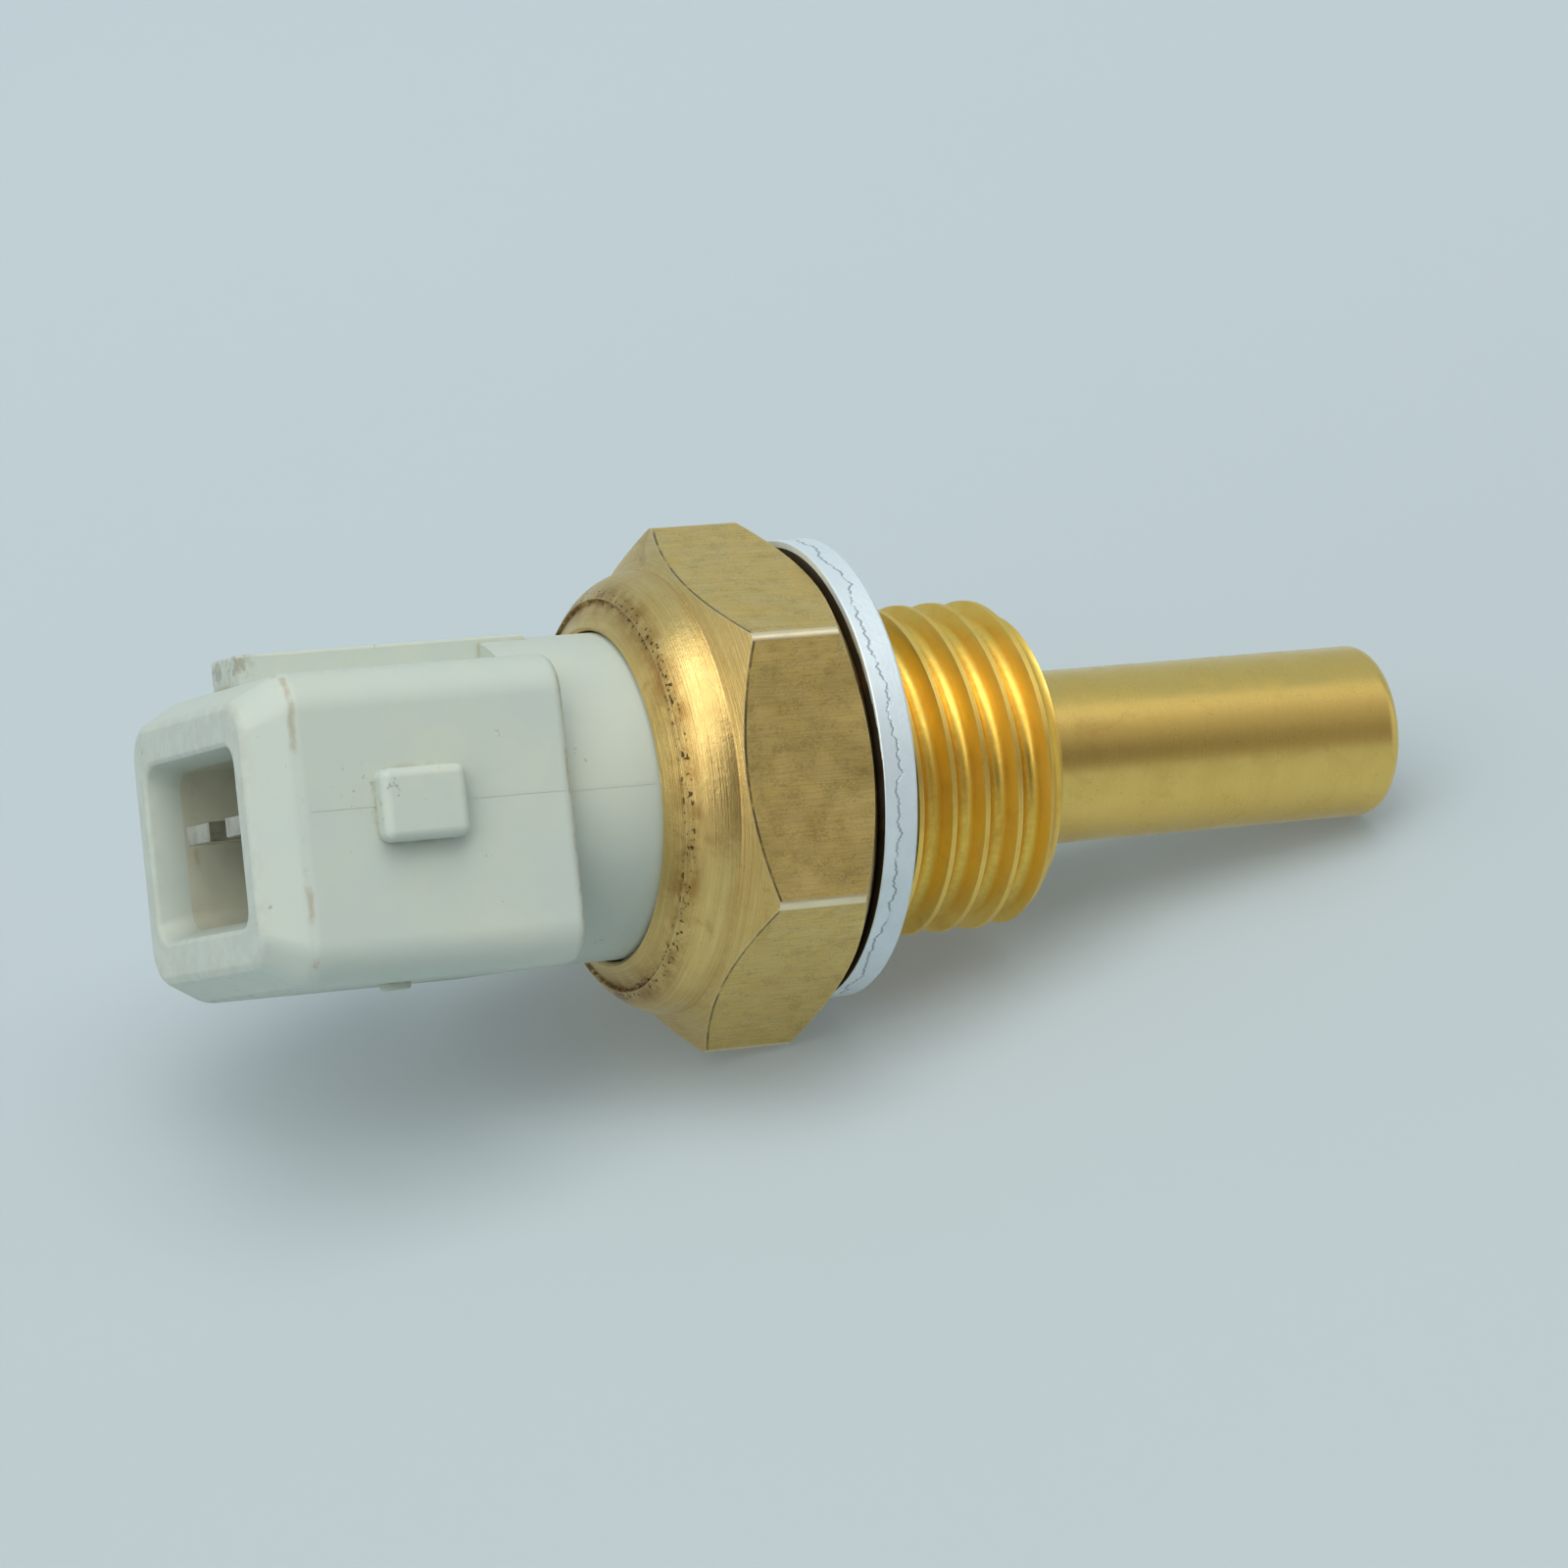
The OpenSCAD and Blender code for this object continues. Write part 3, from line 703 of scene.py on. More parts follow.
@dataclass(frozen=True)
class WasherFinish:
    """Stamped washer: smooth where the die sheared its rim, torn beyond a wavy dark line."""

    name: str
    base: Colour
    torn: Colour
    line: Colour
    rim_radius: float
    shear_place: float
    roughness: float = 0.42

    def build(self, fx: Effects, pose: Pose) -> bpy.types.Material:
        """Makes the material.

        Args:
            fx: The shared shader groups.
            pose: How the sensor lies, for patterns on its own axis.

        Returns:
            The material.
        """
        material, s, body = new_material(self.name)
        own = own_axes(s, pose)
        cylinder = s.group(fx.cylinder, Vector=own)
        radius, along = cylinder.outputs["Radius"], cylinder.outputs["Along"]
        rim = s.ramp(radius, self.rim_radius - 0.75, self.rim_radius - 0.65)
        sway = s.math("MULTIPLY", s.math("SUBTRACT", s.noise(s.stretched(own, (1, 1, 0.05)), 0.55, 6, 0.62), 0.5), 1.8)
        off = s.math("SUBTRACT", s.math("ADD", along, sway), self.shear_place)
        dark = s.math("MULTIPLY", s.ramp(s.math("ABSOLUTE", off), 0.075, 0.015), s.ramp(s.noise(own, 1.2, 3, 0.6), 0.3, 0.5))
        torn = s.math("MULTIPLY", s.ramp(off, 0, 0.06), rim)
        lines = s.noise(s.stretched(own, (1.2, 1.2, 9)), 1.6, 4, 0.6)
        cloud = s.noise(own, 1.1, 4, 0.6)
        colour = s.blend(s.ramp(cloud, 0.35, 0.7, 0, 0.6), self.base, self.torn)
        colour = s.blend(s.math("MULTIPLY", torn, 0.5), colour, self.torn)
        colour = s.blend(s.math("MULTIPLY", s.math("MULTIPLY", dark, rim), 0.8), colour, self.line)
        edge = s.group(fx.wear, Vector=own, Width=0.00012, Breakup=0.7, Size=1.5)
        colour = s.blend(s.math("MULTIPLY", edge.outputs[0], 0.5), colour, (0.95, 0.96, 0.97))
        body.inputs["Metallic"].default_value = 0.45
        s.feed(body, "Base Color", colour)
        rough = s.math("ADD", s.ramp(cloud, 0.3, 0.7, self.roughness * 0.85, self.roughness * 1.2), s.math("MULTIPLY", torn, 0.14), clamp=True)
        s.feed(body, "Roughness", rough)
        rags = s.math("MULTIPLY", s.noise(own, 4.5, 4, 0.65), torn)
        height = s.math("SUBTRACT", s.math("ADD", s.math("MULTIPLY", lines, 0.3), rags), s.math("MULTIPLY", dark, 0.8))
        bump = s.add("Bump", Strength=0.6, Distance=0.00004, Height=height)
        s.feed(body, "Normal", bump.outputs[0])
        return material


@dataclass(frozen=True)
class PlainFinish:
    """Rubber, paste, sleeves and other plain inner pieces, with a mottled skin."""

    name: str
    base: Colour
    shade: Colour
    roughness: float
    scale: float = 1.5

    def build(self, fx: Effects, pose: Pose) -> bpy.types.Material:
        """Makes the material.

        Args:
            fx: The shared shader groups.
            pose: How the sensor lies, for patterns on its own axis.

        Returns:
            The material.
        """
        material, s, body = new_material(self.name)
        own = own_axes(s, pose)
        cloud = s.noise(own, self.scale, 4, 0.6)
        specks = s.group(fx.specks, Vector=own, Scale=self.scale * 4, Share=0.1)
        colour = s.blend(s.ramp(cloud, 0.35, 0.7), self.base, self.shade)
        colour = s.blend(s.math("MULTIPLY", specks.outputs[0], 0.4), colour, self.shade)
        s.feed(body, "Base Color", colour)
        s.feed(body, "Roughness", s.ramp(cloud, 0.3, 0.7, self.roughness * 0.85, self.roughness * 1.15))
        bump = s.add("Bump", Strength=0.3, Distance=0.00003, Height=cloud)
        s.feed(body, "Normal", bump.outputs[0])
        return material


# ---------------------------------------------------------------- pieces


@dataclass
class BrassBody:
    """The turned brass body: crimped collar, hexagon, mounting thread and probe, with its bore."""

    pose: Pose
    hex_flats: float = 19.0
    hex_len: float = 6.0
    hex_slope: float = 33.0
    corner_bevel: float = 0.24
    seam: float = 0.1
    seat_r: float = 9.2
    root_r: float = 9.2
    collar_len: float = 2.0
    roll_r: float = 2.4
    lip_len: float = 0.5
    lip_bore_r: float = 6.85
    lip_edge: float = 0.15
    thread_r: float = 6.9
    thread_root_r: float = 6.12
    thread_len: float = 9.9
    thread_pitch: float = 1.5
    thread_start: float = 0.34
    thread_turns: int = 7
    thread_chamfer: float = 0.9
    crest_flat: float = 0.17
    relief_r: float = 6.1
    relief_end: float = 1.9
    probe_r: float = 3.675
    probe_len: float = 27.3
    probe_edge: float = 0.6
    bore: list[Point] = field(default_factory=lambda: [
        (0, 26.1), (2.675, 26.1), (2.675, 8.9), (4.55, 7.025), (4.55, -1.75), (7.7, -1.75), (7.7, -6.65), (6.85, -7.5),
        (6.85, -8.4),
    ])

    def collar_outline(self) -> list[Point]:
        """Outline of the crimped collar from the lip to the hexagon's root."""
        middle = self.root_r - self.roll_r
        back = -self.hex_len
        end = math.degrees(math.asin(self.collar_len / self.roll_r))
        roll = [(middle + r, back + z) for r, z in arc((0, 0), self.roll_r, -end, 0, 18)]
        crease_r, crease_z = roll[0]
        lip_z = crease_z - self.lip_len
        lip = (self.lip_bore_r + self.lip_edge, lip_z)
        valley = (crease_r - 0.10, crease_z + 0.16)
        steps = 5
        bulge = [
            (lip[0] + (valley[0] - lip[0]) * i / steps, lip[1] + (valley[1] - lip[1]) * i / steps - 0.03 * math.sin(math.pi * i / steps))
            for i in range(steps + 1)
        ]
        return bulge + roll

    def make_turned(self) -> bpy.types.Object:
        """The collar, the core under the hexagon, the shank and the probe round the bore, as one turned solid."""
        tip = arc((self.probe_r - self.probe_edge, self.probe_len - self.probe_edge), self.probe_edge, 0, 90, 8)
        points = self.bore + self.collar_outline()
        end = self.thread_len
        points += [(self.root_r - 0.05, -self.hex_len + 0.4), (8.8, -self.hex_len + 0.8), (8.8, -0.5), (self.relief_r, -0.5)]
        points += [(self.relief_r, self.relief_end), (self.thread_r - 0.35, self.relief_end), (self.thread_r, self.relief_end + 0.3)]
        points += [(self.thread_r, end - self.thread_chamfer), (self.thread_r - 0.42, end - 0.36), (self.thread_r - self.thread_chamfer, end)]
        points += [(self.probe_r, end)] + tip + [(0, self.probe_len)]
        return turn("brass_turned", points, 180)

    def make_hexagon(self) -> bpy.types.Object:
        """The hexagon with its corners rounded and both ends chamfered."""
        radius = self.hex_flats / 2 / math.cos(math.radians(30))
        bpy.ops.mesh.primitive_cylinder_add(
            vertices=6, radius=radius, depth=self.hex_len + self.seam, location=(0, 0, -(self.hex_len + self.seam) / 2),
            rotation=(0, 0, math.radians(30)),
        )
        obj = bpy.context.object
        obj.name = "brass_hexagon"
        bpy.ops.object.transform_apply(location=True, rotation=True, scale=True)
        bevel_edges(obj, lambda a, b: abs(a.z - b.z) > 1, self.corner_bevel, 2)
        slope = math.tan(math.radians(self.hex_slope))
        out = radius + 0.5
        back = -self.hex_len - self.seam / 4
        blank = turn("brass_chamfer", [
            (5.9, 0), (self.seat_r - 0.08, 0), (self.seat_r, -0.05), (out, -(out - self.seat_r) * slope - 0.03),
            (out, back + (out - self.root_r) * slope), (self.root_r - 0.35, back - 0.35 * slope),
            (8.3, back - 0.35 * slope), (8.3, -1), (5.9, -1),
        ], 240)
        combine(obj, blank, Join.KEEP_COMMON)
        tidy_shell(obj)
        return obj

    def make_coil(self) -> bpy.types.Object:
        """A coil of the thread's groove, which cuts the thread into the shank."""
        half = (self.thread_pitch - self.crest_flat) / 2
        root = 0.42
        bottom = [(self.thread_root_r + root - root * math.cos(t), root * math.sin(t)) for t in (i * math.pi / 2 * 0.75 / 4 for i in range(5))]
        upper = bottom + [(self.thread_r - 0.12, half - 0.085), (self.thread_r + 0.03, half), (self.thread_r + 0.5, half)]
        section = [(r, self.thread_start - z) for r, z in reversed(upper)] + [(r, self.thread_start + z) for r, z in upper[1:]]
        coil = draw_outline("brass_coil", section)
        step = coil.modifiers.new("helix", "SCREW")
        step.axis = "Z"
        step.angle = 2 * math.pi
        step.screw_offset = self.thread_pitch
        step.iterations = self.thread_turns
        step.steps = step.render_steps = 96
        step.use_merge_vertices = False
        take(coil)
        bpy.ops.object.modifier_apply(modifier=step.name)
        with editing(coil, "VERT"):
            bpy.ops.mesh.select_all(action="SELECT")
            bpy.ops.mesh.remove_doubles(threshold=1e-5)
            bpy.ops.mesh.fill_holes(sides=0)
            bpy.ops.mesh.select_all(action="SELECT")
            bpy.ops.mesh.normals_make_consistent(inside=False)
        return coil

    def build(self, fx: Effects) -> bpy.types.Object:
        """Joins the forms, bores them and dresses them.

        Args:
            fx: The shared shader groups.

        Returns:
            The finished piece.
        """
        body = self.make_turned()
        combine(body, self.make_coil(), Join.CUT)
        combine(body, self.make_hexagon(), Join.UNION)
        body.name = "brass_body_dressed"
        root = (self.root_r, -self.hex_len)
        drawn = BrassFinish(
            "brass_drawn", (0.79, 0.57, 0.16), (0.64, 0.44, 0.11), 0.42, drawn=1.0, speck_share=0.40, film=0.30, stained=0.3, burr_shadow_from=root,
        )
        turned = BrassFinish(
            "brass_turned_bright", (0.78, 0.56, 0.20), (0.62, 0.41, 0.12), 0.33, turned=1.0, speck_share=0.15, film=0.10, crease=-7.85, relief=0.00009,
        )
        thread = BrassFinish("brass_cut_thread", (0.92, 0.63, 0.12), (0.78, 0.48, 0.07), 0.42, turned=0.3, film=0.04, wear=0.9, stained=0.3)
        probe = BrassFinish("brass_probe", (0.86, 0.60, 0.17), (0.76, 0.50, 0.12), 0.25, turned=0.25, speck_share=0.12, film=0.04, stained=0.25)
        # Painted highlight: a pale, bright brass for the hexagon's rounded corners.
        edge = BrassFinish("brass_corner_painted_highlight", (0.98, 0.86, 0.58), (0.88, 0.70, 0.40), 0.30, film=0.3, wear=0.9, stained=0.2)
        # Painted shade: a dark brass for the hexagon's seat face, in the gap behind the washer.
        seat_shade = BrassFinish("brass_seat_painted_shade", (0.16, 0.11, 0.05), (0.08, 0.05, 0.03), 0.6)
        for finish in (drawn, turned, thread, probe, edge, seat_shade):
            body.data.materials.append(finish.build(fx, self.pose))
        flat_r = self.hex_flats / 2 - 0.3
        corner_r = self.hex_flats / 2 / math.cos(math.radians(30)) - 0.28
        for face in body.data.polygons:
            middle = face.center
            radius = math.hypot(middle.x, middle.y)
            # The seat face behind the washer takes the painted shade.
            if face.normal.z > 0.9 and -0.2 < middle.z < 0.1:
                face.material_index = 5
            # The hexagon's rounded corners take the painted highlight.
            elif radius > corner_r and abs(face.normal.z) < 0.1:
                face.material_index = 4
            elif radius > flat_r - 0.2 and -self.hex_len < middle.z < 0 and abs(face.normal.z) < 0.1:
                face.material_index = 0
            elif middle.z >= self.thread_len + 0.05 and radius > self.probe_r - self.probe_edge:
                face.material_index = 3
            elif 1.7 < middle.z < self.thread_len + 0.05 and radius > 5.7:
                face.material_index = 2
            else:
                face.material_index = 1
        finish_shading(body)
        self.pose.lay(body)
        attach(body, "root")
        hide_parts("brass_body")
        return body


@dataclass
class SealingWasher:
    """The loose washer, which leans against the top of the hexagon and stands on the surface below."""

    pose: Pose
    outer_r: float = 9.6
    bore_r: float = 7.4
    thick: float = 1.5
    edge: float = 0.2
    lean: float = 0.7
    pivot: float = 9.2
    drop: float = 8.7459
    shade_from_r: float = 9.3
    shade_step: float = 0.05

    def build(self, fx: Effects) -> bpy.types.Object:
        """Turns the ring, leans it and dresses it.

        Args:
            fx: The shared shader groups.

        Returns:
            The finished piece.
        """
        r, t, e = self.outer_r, self.thick, self.edge
        points = [(self.bore_r, 0.08), (self.bore_r + 0.08, 0)]
        # Rings on the face that meets the hexagon, where the painted shade of the gap may end.
        points += [(self.shade_from_r + self.shade_step * i, 0) for i in range(5)]
        points += arc((r - e / 3, e / 3), e / 3, -90, 0, 3) + [(r - 0.015, t * 0.45), (r - 0.02, t - e * 0.7)]
        points += [(r - 0.1, t - 0.03), (r - 0.2, t), (self.bore_r + 0.1, t), (self.bore_r, t - 0.1)]
        ring = turn("sealing_washer_dressed", points, 180)
        ring.data.materials.append(WasherFinish(
            "washer_steel", (0.78, 0.87, 0.91), (0.70, 0.79, 0.83), (0.22, 0.27, 0.31), self.outer_r, self.thick * 0.44,
        ).build(fx, self.pose))
        # Painted shade: a near-black for the face that meets the hexagon, in the gap between them.
        ring.data.materials.append(BrassFinish("washer_seat_painted_shade", (0.10, 0.08, 0.06), (0.05, 0.04, 0.03), 0.6).build(fx, self.pose))
        # Faces towards the hexagon take the painted shade inside a radius that is smallest near the pivot, where the
        # washer touches the hexagon.
        for face in ring.data.polygons:
            below = min(max((0.85 + face.center.x / self.outer_r) / 0.4, 0), 1)
            reach = self.shade_from_r + below * self.shade_step * 5
            shaded = face.normal.z < -0.2 and face.center.xy.length < reach
            face.material_index = 1 if shaded else 0
        finish_shading(ring)
        take(ring)
        up = Matrix.Rotation(math.radians(-self.pose.roll), 4, "Z")
        lean = Matrix.Rotation(math.radians(-self.lean), 4, "Y")
        ring.matrix_world = up @ Matrix.Translation((-self.pivot, 0, 0)) @ lean @ Matrix.Translation((self.drop, 0, 0))
        bpy.ops.object.transform_apply(location=True, rotation=True, scale=True)
        self.pose.lay(ring)
        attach(ring, "root")
        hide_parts("sealing_washer")
        return ring


@dataclass
class Housing:
    """The moulded housing: block with tapered nose and socket, key rib, latch bumps, neck and inner flange."""

    pose: Pose
    mouth_z: float = -26.0
    block_z: float = -12.6
    top: float = 5.65
    height: float = 12.45
    width: float = 15.8
    edge_r: float = 1.7
    nose_len: float = 1.9
    nose_draw: float = 1.0
    rib_w: float = 3.1
    rib_h: float = 1.2
    rib_setback: float = 2.0
    rib_past: float = 1.0
    latch_len: float = 3.6
    latch_w: float = 2.9
    latch_h: float = 1.0
    latch_setback: float = 5.0
    gate_r: float = 0.65
    gate_setback: float = 7.9
    socket_w: float = 10.7
    socket_h: float = 6.5
    socket_depth: float = 11.5
    mouth_len: float = 1.4
    mouth_bevel: float = 0.4
    neck_r: float = 6.75
    neck: list[Point] = field(default_factory=lambda: [
        (0, -13.6), (6.75, -13.6), (6.75, -7.5), (7.6, -6.65), (7.6, -3.55), (5.7, -3.55), (5.7, -1.85), (4.45, -1.85),
        (4.45, 2.6), (0, 2.6),
    ])

    @property
    def mid(self) -> float:
        """Middle of the block's height."""
        return self.top - self.height / 2

    def make_block(self) -> bpy.types.Object:
        """The block with rounded long edges, its nose drawn in and the socket sunk into its front."""
        hx, hy = self.height / 2, self.width / 2
        obj = block("housing_block", (self.mid - hx, -hy, self.mouth_z), (self.mid + hx, hy, self.block_z))
        bevel_edges(obj, lambda a, b: abs(a.z - b.z) > 1, self.edge_r, 6)
        front, crease = self.mouth_z, self.mouth_z + self.nose_len
        with editing(obj):
            bpy.ops.mesh.select_all(action="SELECT")
            bpy.ops.mesh.bisect(plane_co=(0, 0, crease), plane_no=(0, 0, 1))
            pick_faces(obj, lambda c, n: n.z < -0.9)
            shrink = ((hx - self.nose_draw) / hx, (hy - self.nose_draw) / hy, 1)
            bpy.ops.transform.resize(value=shrink, center_override=(self.mid, 0, front))
            bpy.ops.mesh.inset(thickness=0.15)
            inner = (hx - self.nose_draw - 0.15, hy - self.nose_draw - 0.15)
            mouth = (self.socket_h / 2 + self.mouth_bevel, self.socket_w / 2 + self.mouth_bevel)
            bpy.ops.transform.resize(value=(mouth[0] / inner[0], mouth[1] / inner[1], 1), center_override=(self.mid, 0, front))
            bpy.ops.mesh.extrude_region_move(TRANSFORM_OT_translate={"value": (0, 0, self.mouth_len)})
            neck_in = (self.socket_h / 2 / mouth[0], self.socket_w / 2 / mouth[1], 1)
            bpy.ops.transform.resize(value=neck_in, center_override=(self.mid, 0, front))
            bpy.ops.mesh.extrude_region_move(TRANSFORM_OT_translate={"value": (0, 0, self.socket_depth - self.mouth_len)})
        near = 1e-3
        bevel_edges(obj, lambda a, b: abs(a.z - crease) < near and abs(b.z - crease) < near and max(abs(a.y), abs(a.x - self.mid)) > 5.6, 0.35, 3)
        back = self.block_z
        bevel_edges(obj, lambda a, b: abs(a.z - back) < near and abs(b.z - back) < near, 0.45, 4)
        outer_x, outer_y = hx - self.nose_draw - near, hy - self.nose_draw - near

        def on_rim(p: Vector) -> bool:
            """Whether a point lies on the outer edge of the front face."""
            if abs(p.z - front) > near:
                return False
            corner = self.edge_r * 1.05
            far_x, far_y = abs(p.x - self.mid) - (outer_x - corner), abs(p.y) - (outer_y - corner)
            return max(far_x, far_y) > corner or (min(far_x, far_y) > 0 and math.hypot(far_x, far_y) > corner * 0.8)

        bevel_edges(obj, lambda a, b: on_rim(a) and on_rim(b), 0.3, 3)
        mouth_x, mouth_y = mouth[0] + near, mouth[1] + near
        bevel_edges(obj, lambda a, b: max(abs(a.z - front), abs(b.z - front)) < near
                    and max(abs(a.x - self.mid), abs(b.x - self.mid)) < mouth_x and max(abs(a.y), abs(b.y)) < mouth_y, 0.2, 3)
        return obj

    def make_rib(self) -> bpy.types.Object:
        """The key rib on top of the block, with its outer edges rounded."""
        half = self.rib_w / 2
        low = (self.top - 0.6, -half, self.mouth_z + self.rib_setback)
        rib = block("housing_rib", low, (self.top + self.rib_h, half, self.block_z + self.rib_past))
        ridge = self.top + self.rib_h - 1e-3
        bevel_edges(rib, lambda a, b: min(a.x, b.x) > ridge, 0.15, 3)
        return rib

    def make_latch(self, side: float) -> bpy.types.Object:
        """One latch bump, with its outer edges bevelled.

        Args:
            side: 1 for the side that faces the viewer, -1 for the far one.

        Returns:
            The bump, sunk into the block.
        """
        wall = self.width / 2
        low_z = self.mouth_z + self.latch_setback
        ys = sorted((side * (wall - 0.5), side * (wall + self.latch_h)))
        bump = block("housing_latch", (-self.latch_w / 2, ys[0], low_z), (self.latch_w / 2, ys[1], low_z + self.latch_len))
        bevel_edges(bump, lambda a, b: max(abs(a.y), abs(b.y)) > wall, 0.42, 5)
        return bump

    def make_gate(self) -> bpy.types.Object:
        """The round mark that the mould's gate left under the block."""
        bottom = self.top - self.height
        bpy.ops.mesh.primitive_cylinder_add(
            vertices=40, radius=self.gate_r, depth=0.8, location=(bottom + 0.1, 0, self.mouth_z + self.gate_setback),
            rotation=(0, math.radians(90), 0),
        )
        gate = bpy.context.object
        gate.name = "housing_gate"
        bpy.ops.object.transform_apply(location=True, rotation=True, scale=True)
        bevel_edges(gate, lambda a, b: max(a.x, b.x) < bottom - 0.2, 0.15, 2)
        return gate

    def make_flash(self) -> list[bpy.types.Object]:
        """Thin lines of flash where the halves of the mould met, along the block's sides and the neck."""
        lines = []
        for side in (-1, 1):
            wall = self.width / 2
            ys = sorted((side * (wall - 0.3), side * (wall + 0.014)))
            lines.append(block("housing_flash", (0.02, ys[0], self.mouth_z + 2.3), (0.12, ys[1], self.block_z - 0.4)))
            ys = sorted((side * (self.neck_r - 0.3), side * (self.neck_r + 0.012)))
            lines.append(block("housing_flash", (0.02, ys[0], self.block_z - 0.2), (0.12, ys[1], -8.6)))
        return lines

    def build(self, fx: Effects) -> bpy.types.Object:
        """Joins the forms, cuts the slots of the terminals and dresses the piece.

        Args:
            fx: The shared shader groups.

        Returns:
            The finished piece.
        """
        body = self.make_block()
        combine(body, turn("housing_neck", self.neck), Join.UNION)
        combine(body, self.make_rib(), Join.UNION)
        for side in (-1, 1):
            combine(body, self.make_latch(side), Join.UNION)
        combine(body, self.make_gate(), Join.UNION)
        for line in self.make_flash():
            combine(body, line, Join.UNION)
        for side in (-1, 1):
            ys = sorted((side * 1.1, side * 3.9))
            combine(body, block("housing_slot", (-0.4, ys[0], -15.5), (0.4, ys[1], 3.6)), Join.CUT)
        body.name = "connector_housing_dressed"
        skin = PlasticFinish("housing_plastic_aged", (0.52, 0.59, 0.53), (0.56, 0.61, 0.52), (0.37, 0.31, 0.20))
        # Painted shade: a darker, browner copy of the plastic for the inside of the socket.
        inside = PlasticFinish("housing_socket_painted_shade", (0.56, 0.57, 0.45), (0.47, 0.47, 0.36), (0.36, 0.30, 0.18))
        for finish in (skin, inside):
            body.data.materials.append(finish.build(fx, self.pose))
        near = 0.02
        low, high = self.mouth_z + self.mouth_len - near, self.mouth_z + self.socket_depth + near
        # Faces inside the socket beyond the mouth's bevel take the painted shade.
        for face in body.data.polygons:
            middle = face.center
            within = abs(middle.x - self.mid) < self.socket_h / 2 + near and abs(middle.y) < self.socket_w / 2 + near
            face.material_index = 1 if within and low < middle.z < high else 0
        finish_shading(body)
        self.pose.lay(body)
        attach(body, "root")
        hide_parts("connector_housing")
        return body


@dataclass
class Terminal:
    """One terminal: a blade with a finely bevelled end, its strip through the plastic and a narrow solder tab."""

    pose: Pose
    name: str
    side: float
    inner: float = 1.1
    blade_w: float = 2.8
    thick: float = 0.8
    tab_w: float = 1.2
    start_z: float = -25.0
    strip_end_z: float = 2.6
    tab_end_z: float = 5.0
    bevel: float = 0.1

    def build(self, finish: MetalFinish, fx: Effects) -> bpy.types.Object:
        """Draws the strip's outline, gives it its thickness and bevels its end.

        Args:
            finish: The metal's finish.
            fx: The shared shader groups.

        Returns:
            The finished piece.
        """
        outer, half = self.inner + self.blade_w, self.thick / 2
        blade = block(self.name + "_dressed", (-half, self.inner, self.start_z), (half, outer, self.strip_end_z))
        with editing(blade):
            bpy.ops.mesh.select_all(action="SELECT")
            split = self.inner + self.tab_w
            bpy.ops.mesh.bisect(plane_co=(0, split, 0), plane_no=(0, 1, 0))
            pick_faces(blade, lambda c, n: n.z > 0.9 and c.y < split)
            bpy.ops.mesh.extrude_region_move(TRANSFORM_OT_translate={"value": (0, 0, self.tab_end_z - self.strip_end_z)})
        front = self.start_z + 1e-3
        bevel_edges(blade, lambda a, b: max(a.z, b.z) < front and (a - b).length < outer
                    and (abs(a.y - b.y) < 1e-3 or abs(a.x - b.x) < 1e-3), self.bevel, 2)
        if self.side < 0:
            blade.rotation_euler = (0, 0, math.pi)
            take(blade)
            bpy.ops.object.transform_apply(location=True, rotation=True, scale=True)
        blade.data.materials.append(finish.build(fx, self.pose))
        finish_shading(blade)
        self.pose.lay(blade)
        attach(blade, "root")
        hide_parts(self.name)
        return blade


@dataclass
class InnerPieces:
    """The lead wires, solder, seals and other inner pieces, whose solids keep their shape and take a finish."""

    pose: Pose
    finishes: dict[str, object] = field(default_factory=lambda: {
        "lead_wire": MetalFinish("lead_wire_tin", (0.70, 0.68, 0.62), (0.50, 0.48, 0.44), 0.30),
        "solder_joint": MetalFinish("solder_dull", (0.52, 0.53, 0.53), (0.36, 0.37, 0.38), 0.45, (2, 2, 2)),
        "o_ring": PlainFinish("seal_rubber_black", (0.022, 0.022, 0.024), (0.035, 0.034, 0.033), 0.55),
        "sleeve": PlainFinish("sleeve_red_brown", (0.20, 0.045, 0.025), (0.14, 0.030, 0.018), 0.45),
        "liner": PlainFinish("liner_buff", (0.52, 0.42, 0.25), (0.44, 0.34, 0.19), 0.5),
        "thermistor": PlainFinish("bead_dark", (0.02, 0.035, 0.028), (0.03, 0.045, 0.035), 0.15),
        "heat_paste": PlainFinish("paste_white", (0.68, 0.67, 0.63), (0.58, 0.57, 0.52), 0.6),
    })

    def build(self, fx: Effects) -> int:
        """Gives each of these solids its finish.

        Args:
            fx: The shared shader groups.

        Returns:
            The number of solids dressed.
        """
        dressed = 0
        for start, finish in self.finishes.items():
            material = finish.build(fx, self.pose)
            for name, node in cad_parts.items():
                if name.startswith(start):
                    node.data.materials.clear()
                    node.data.materials.append(material)
                    dressed += 1
        return dressed


# ---------------------------------------------------------------- studio


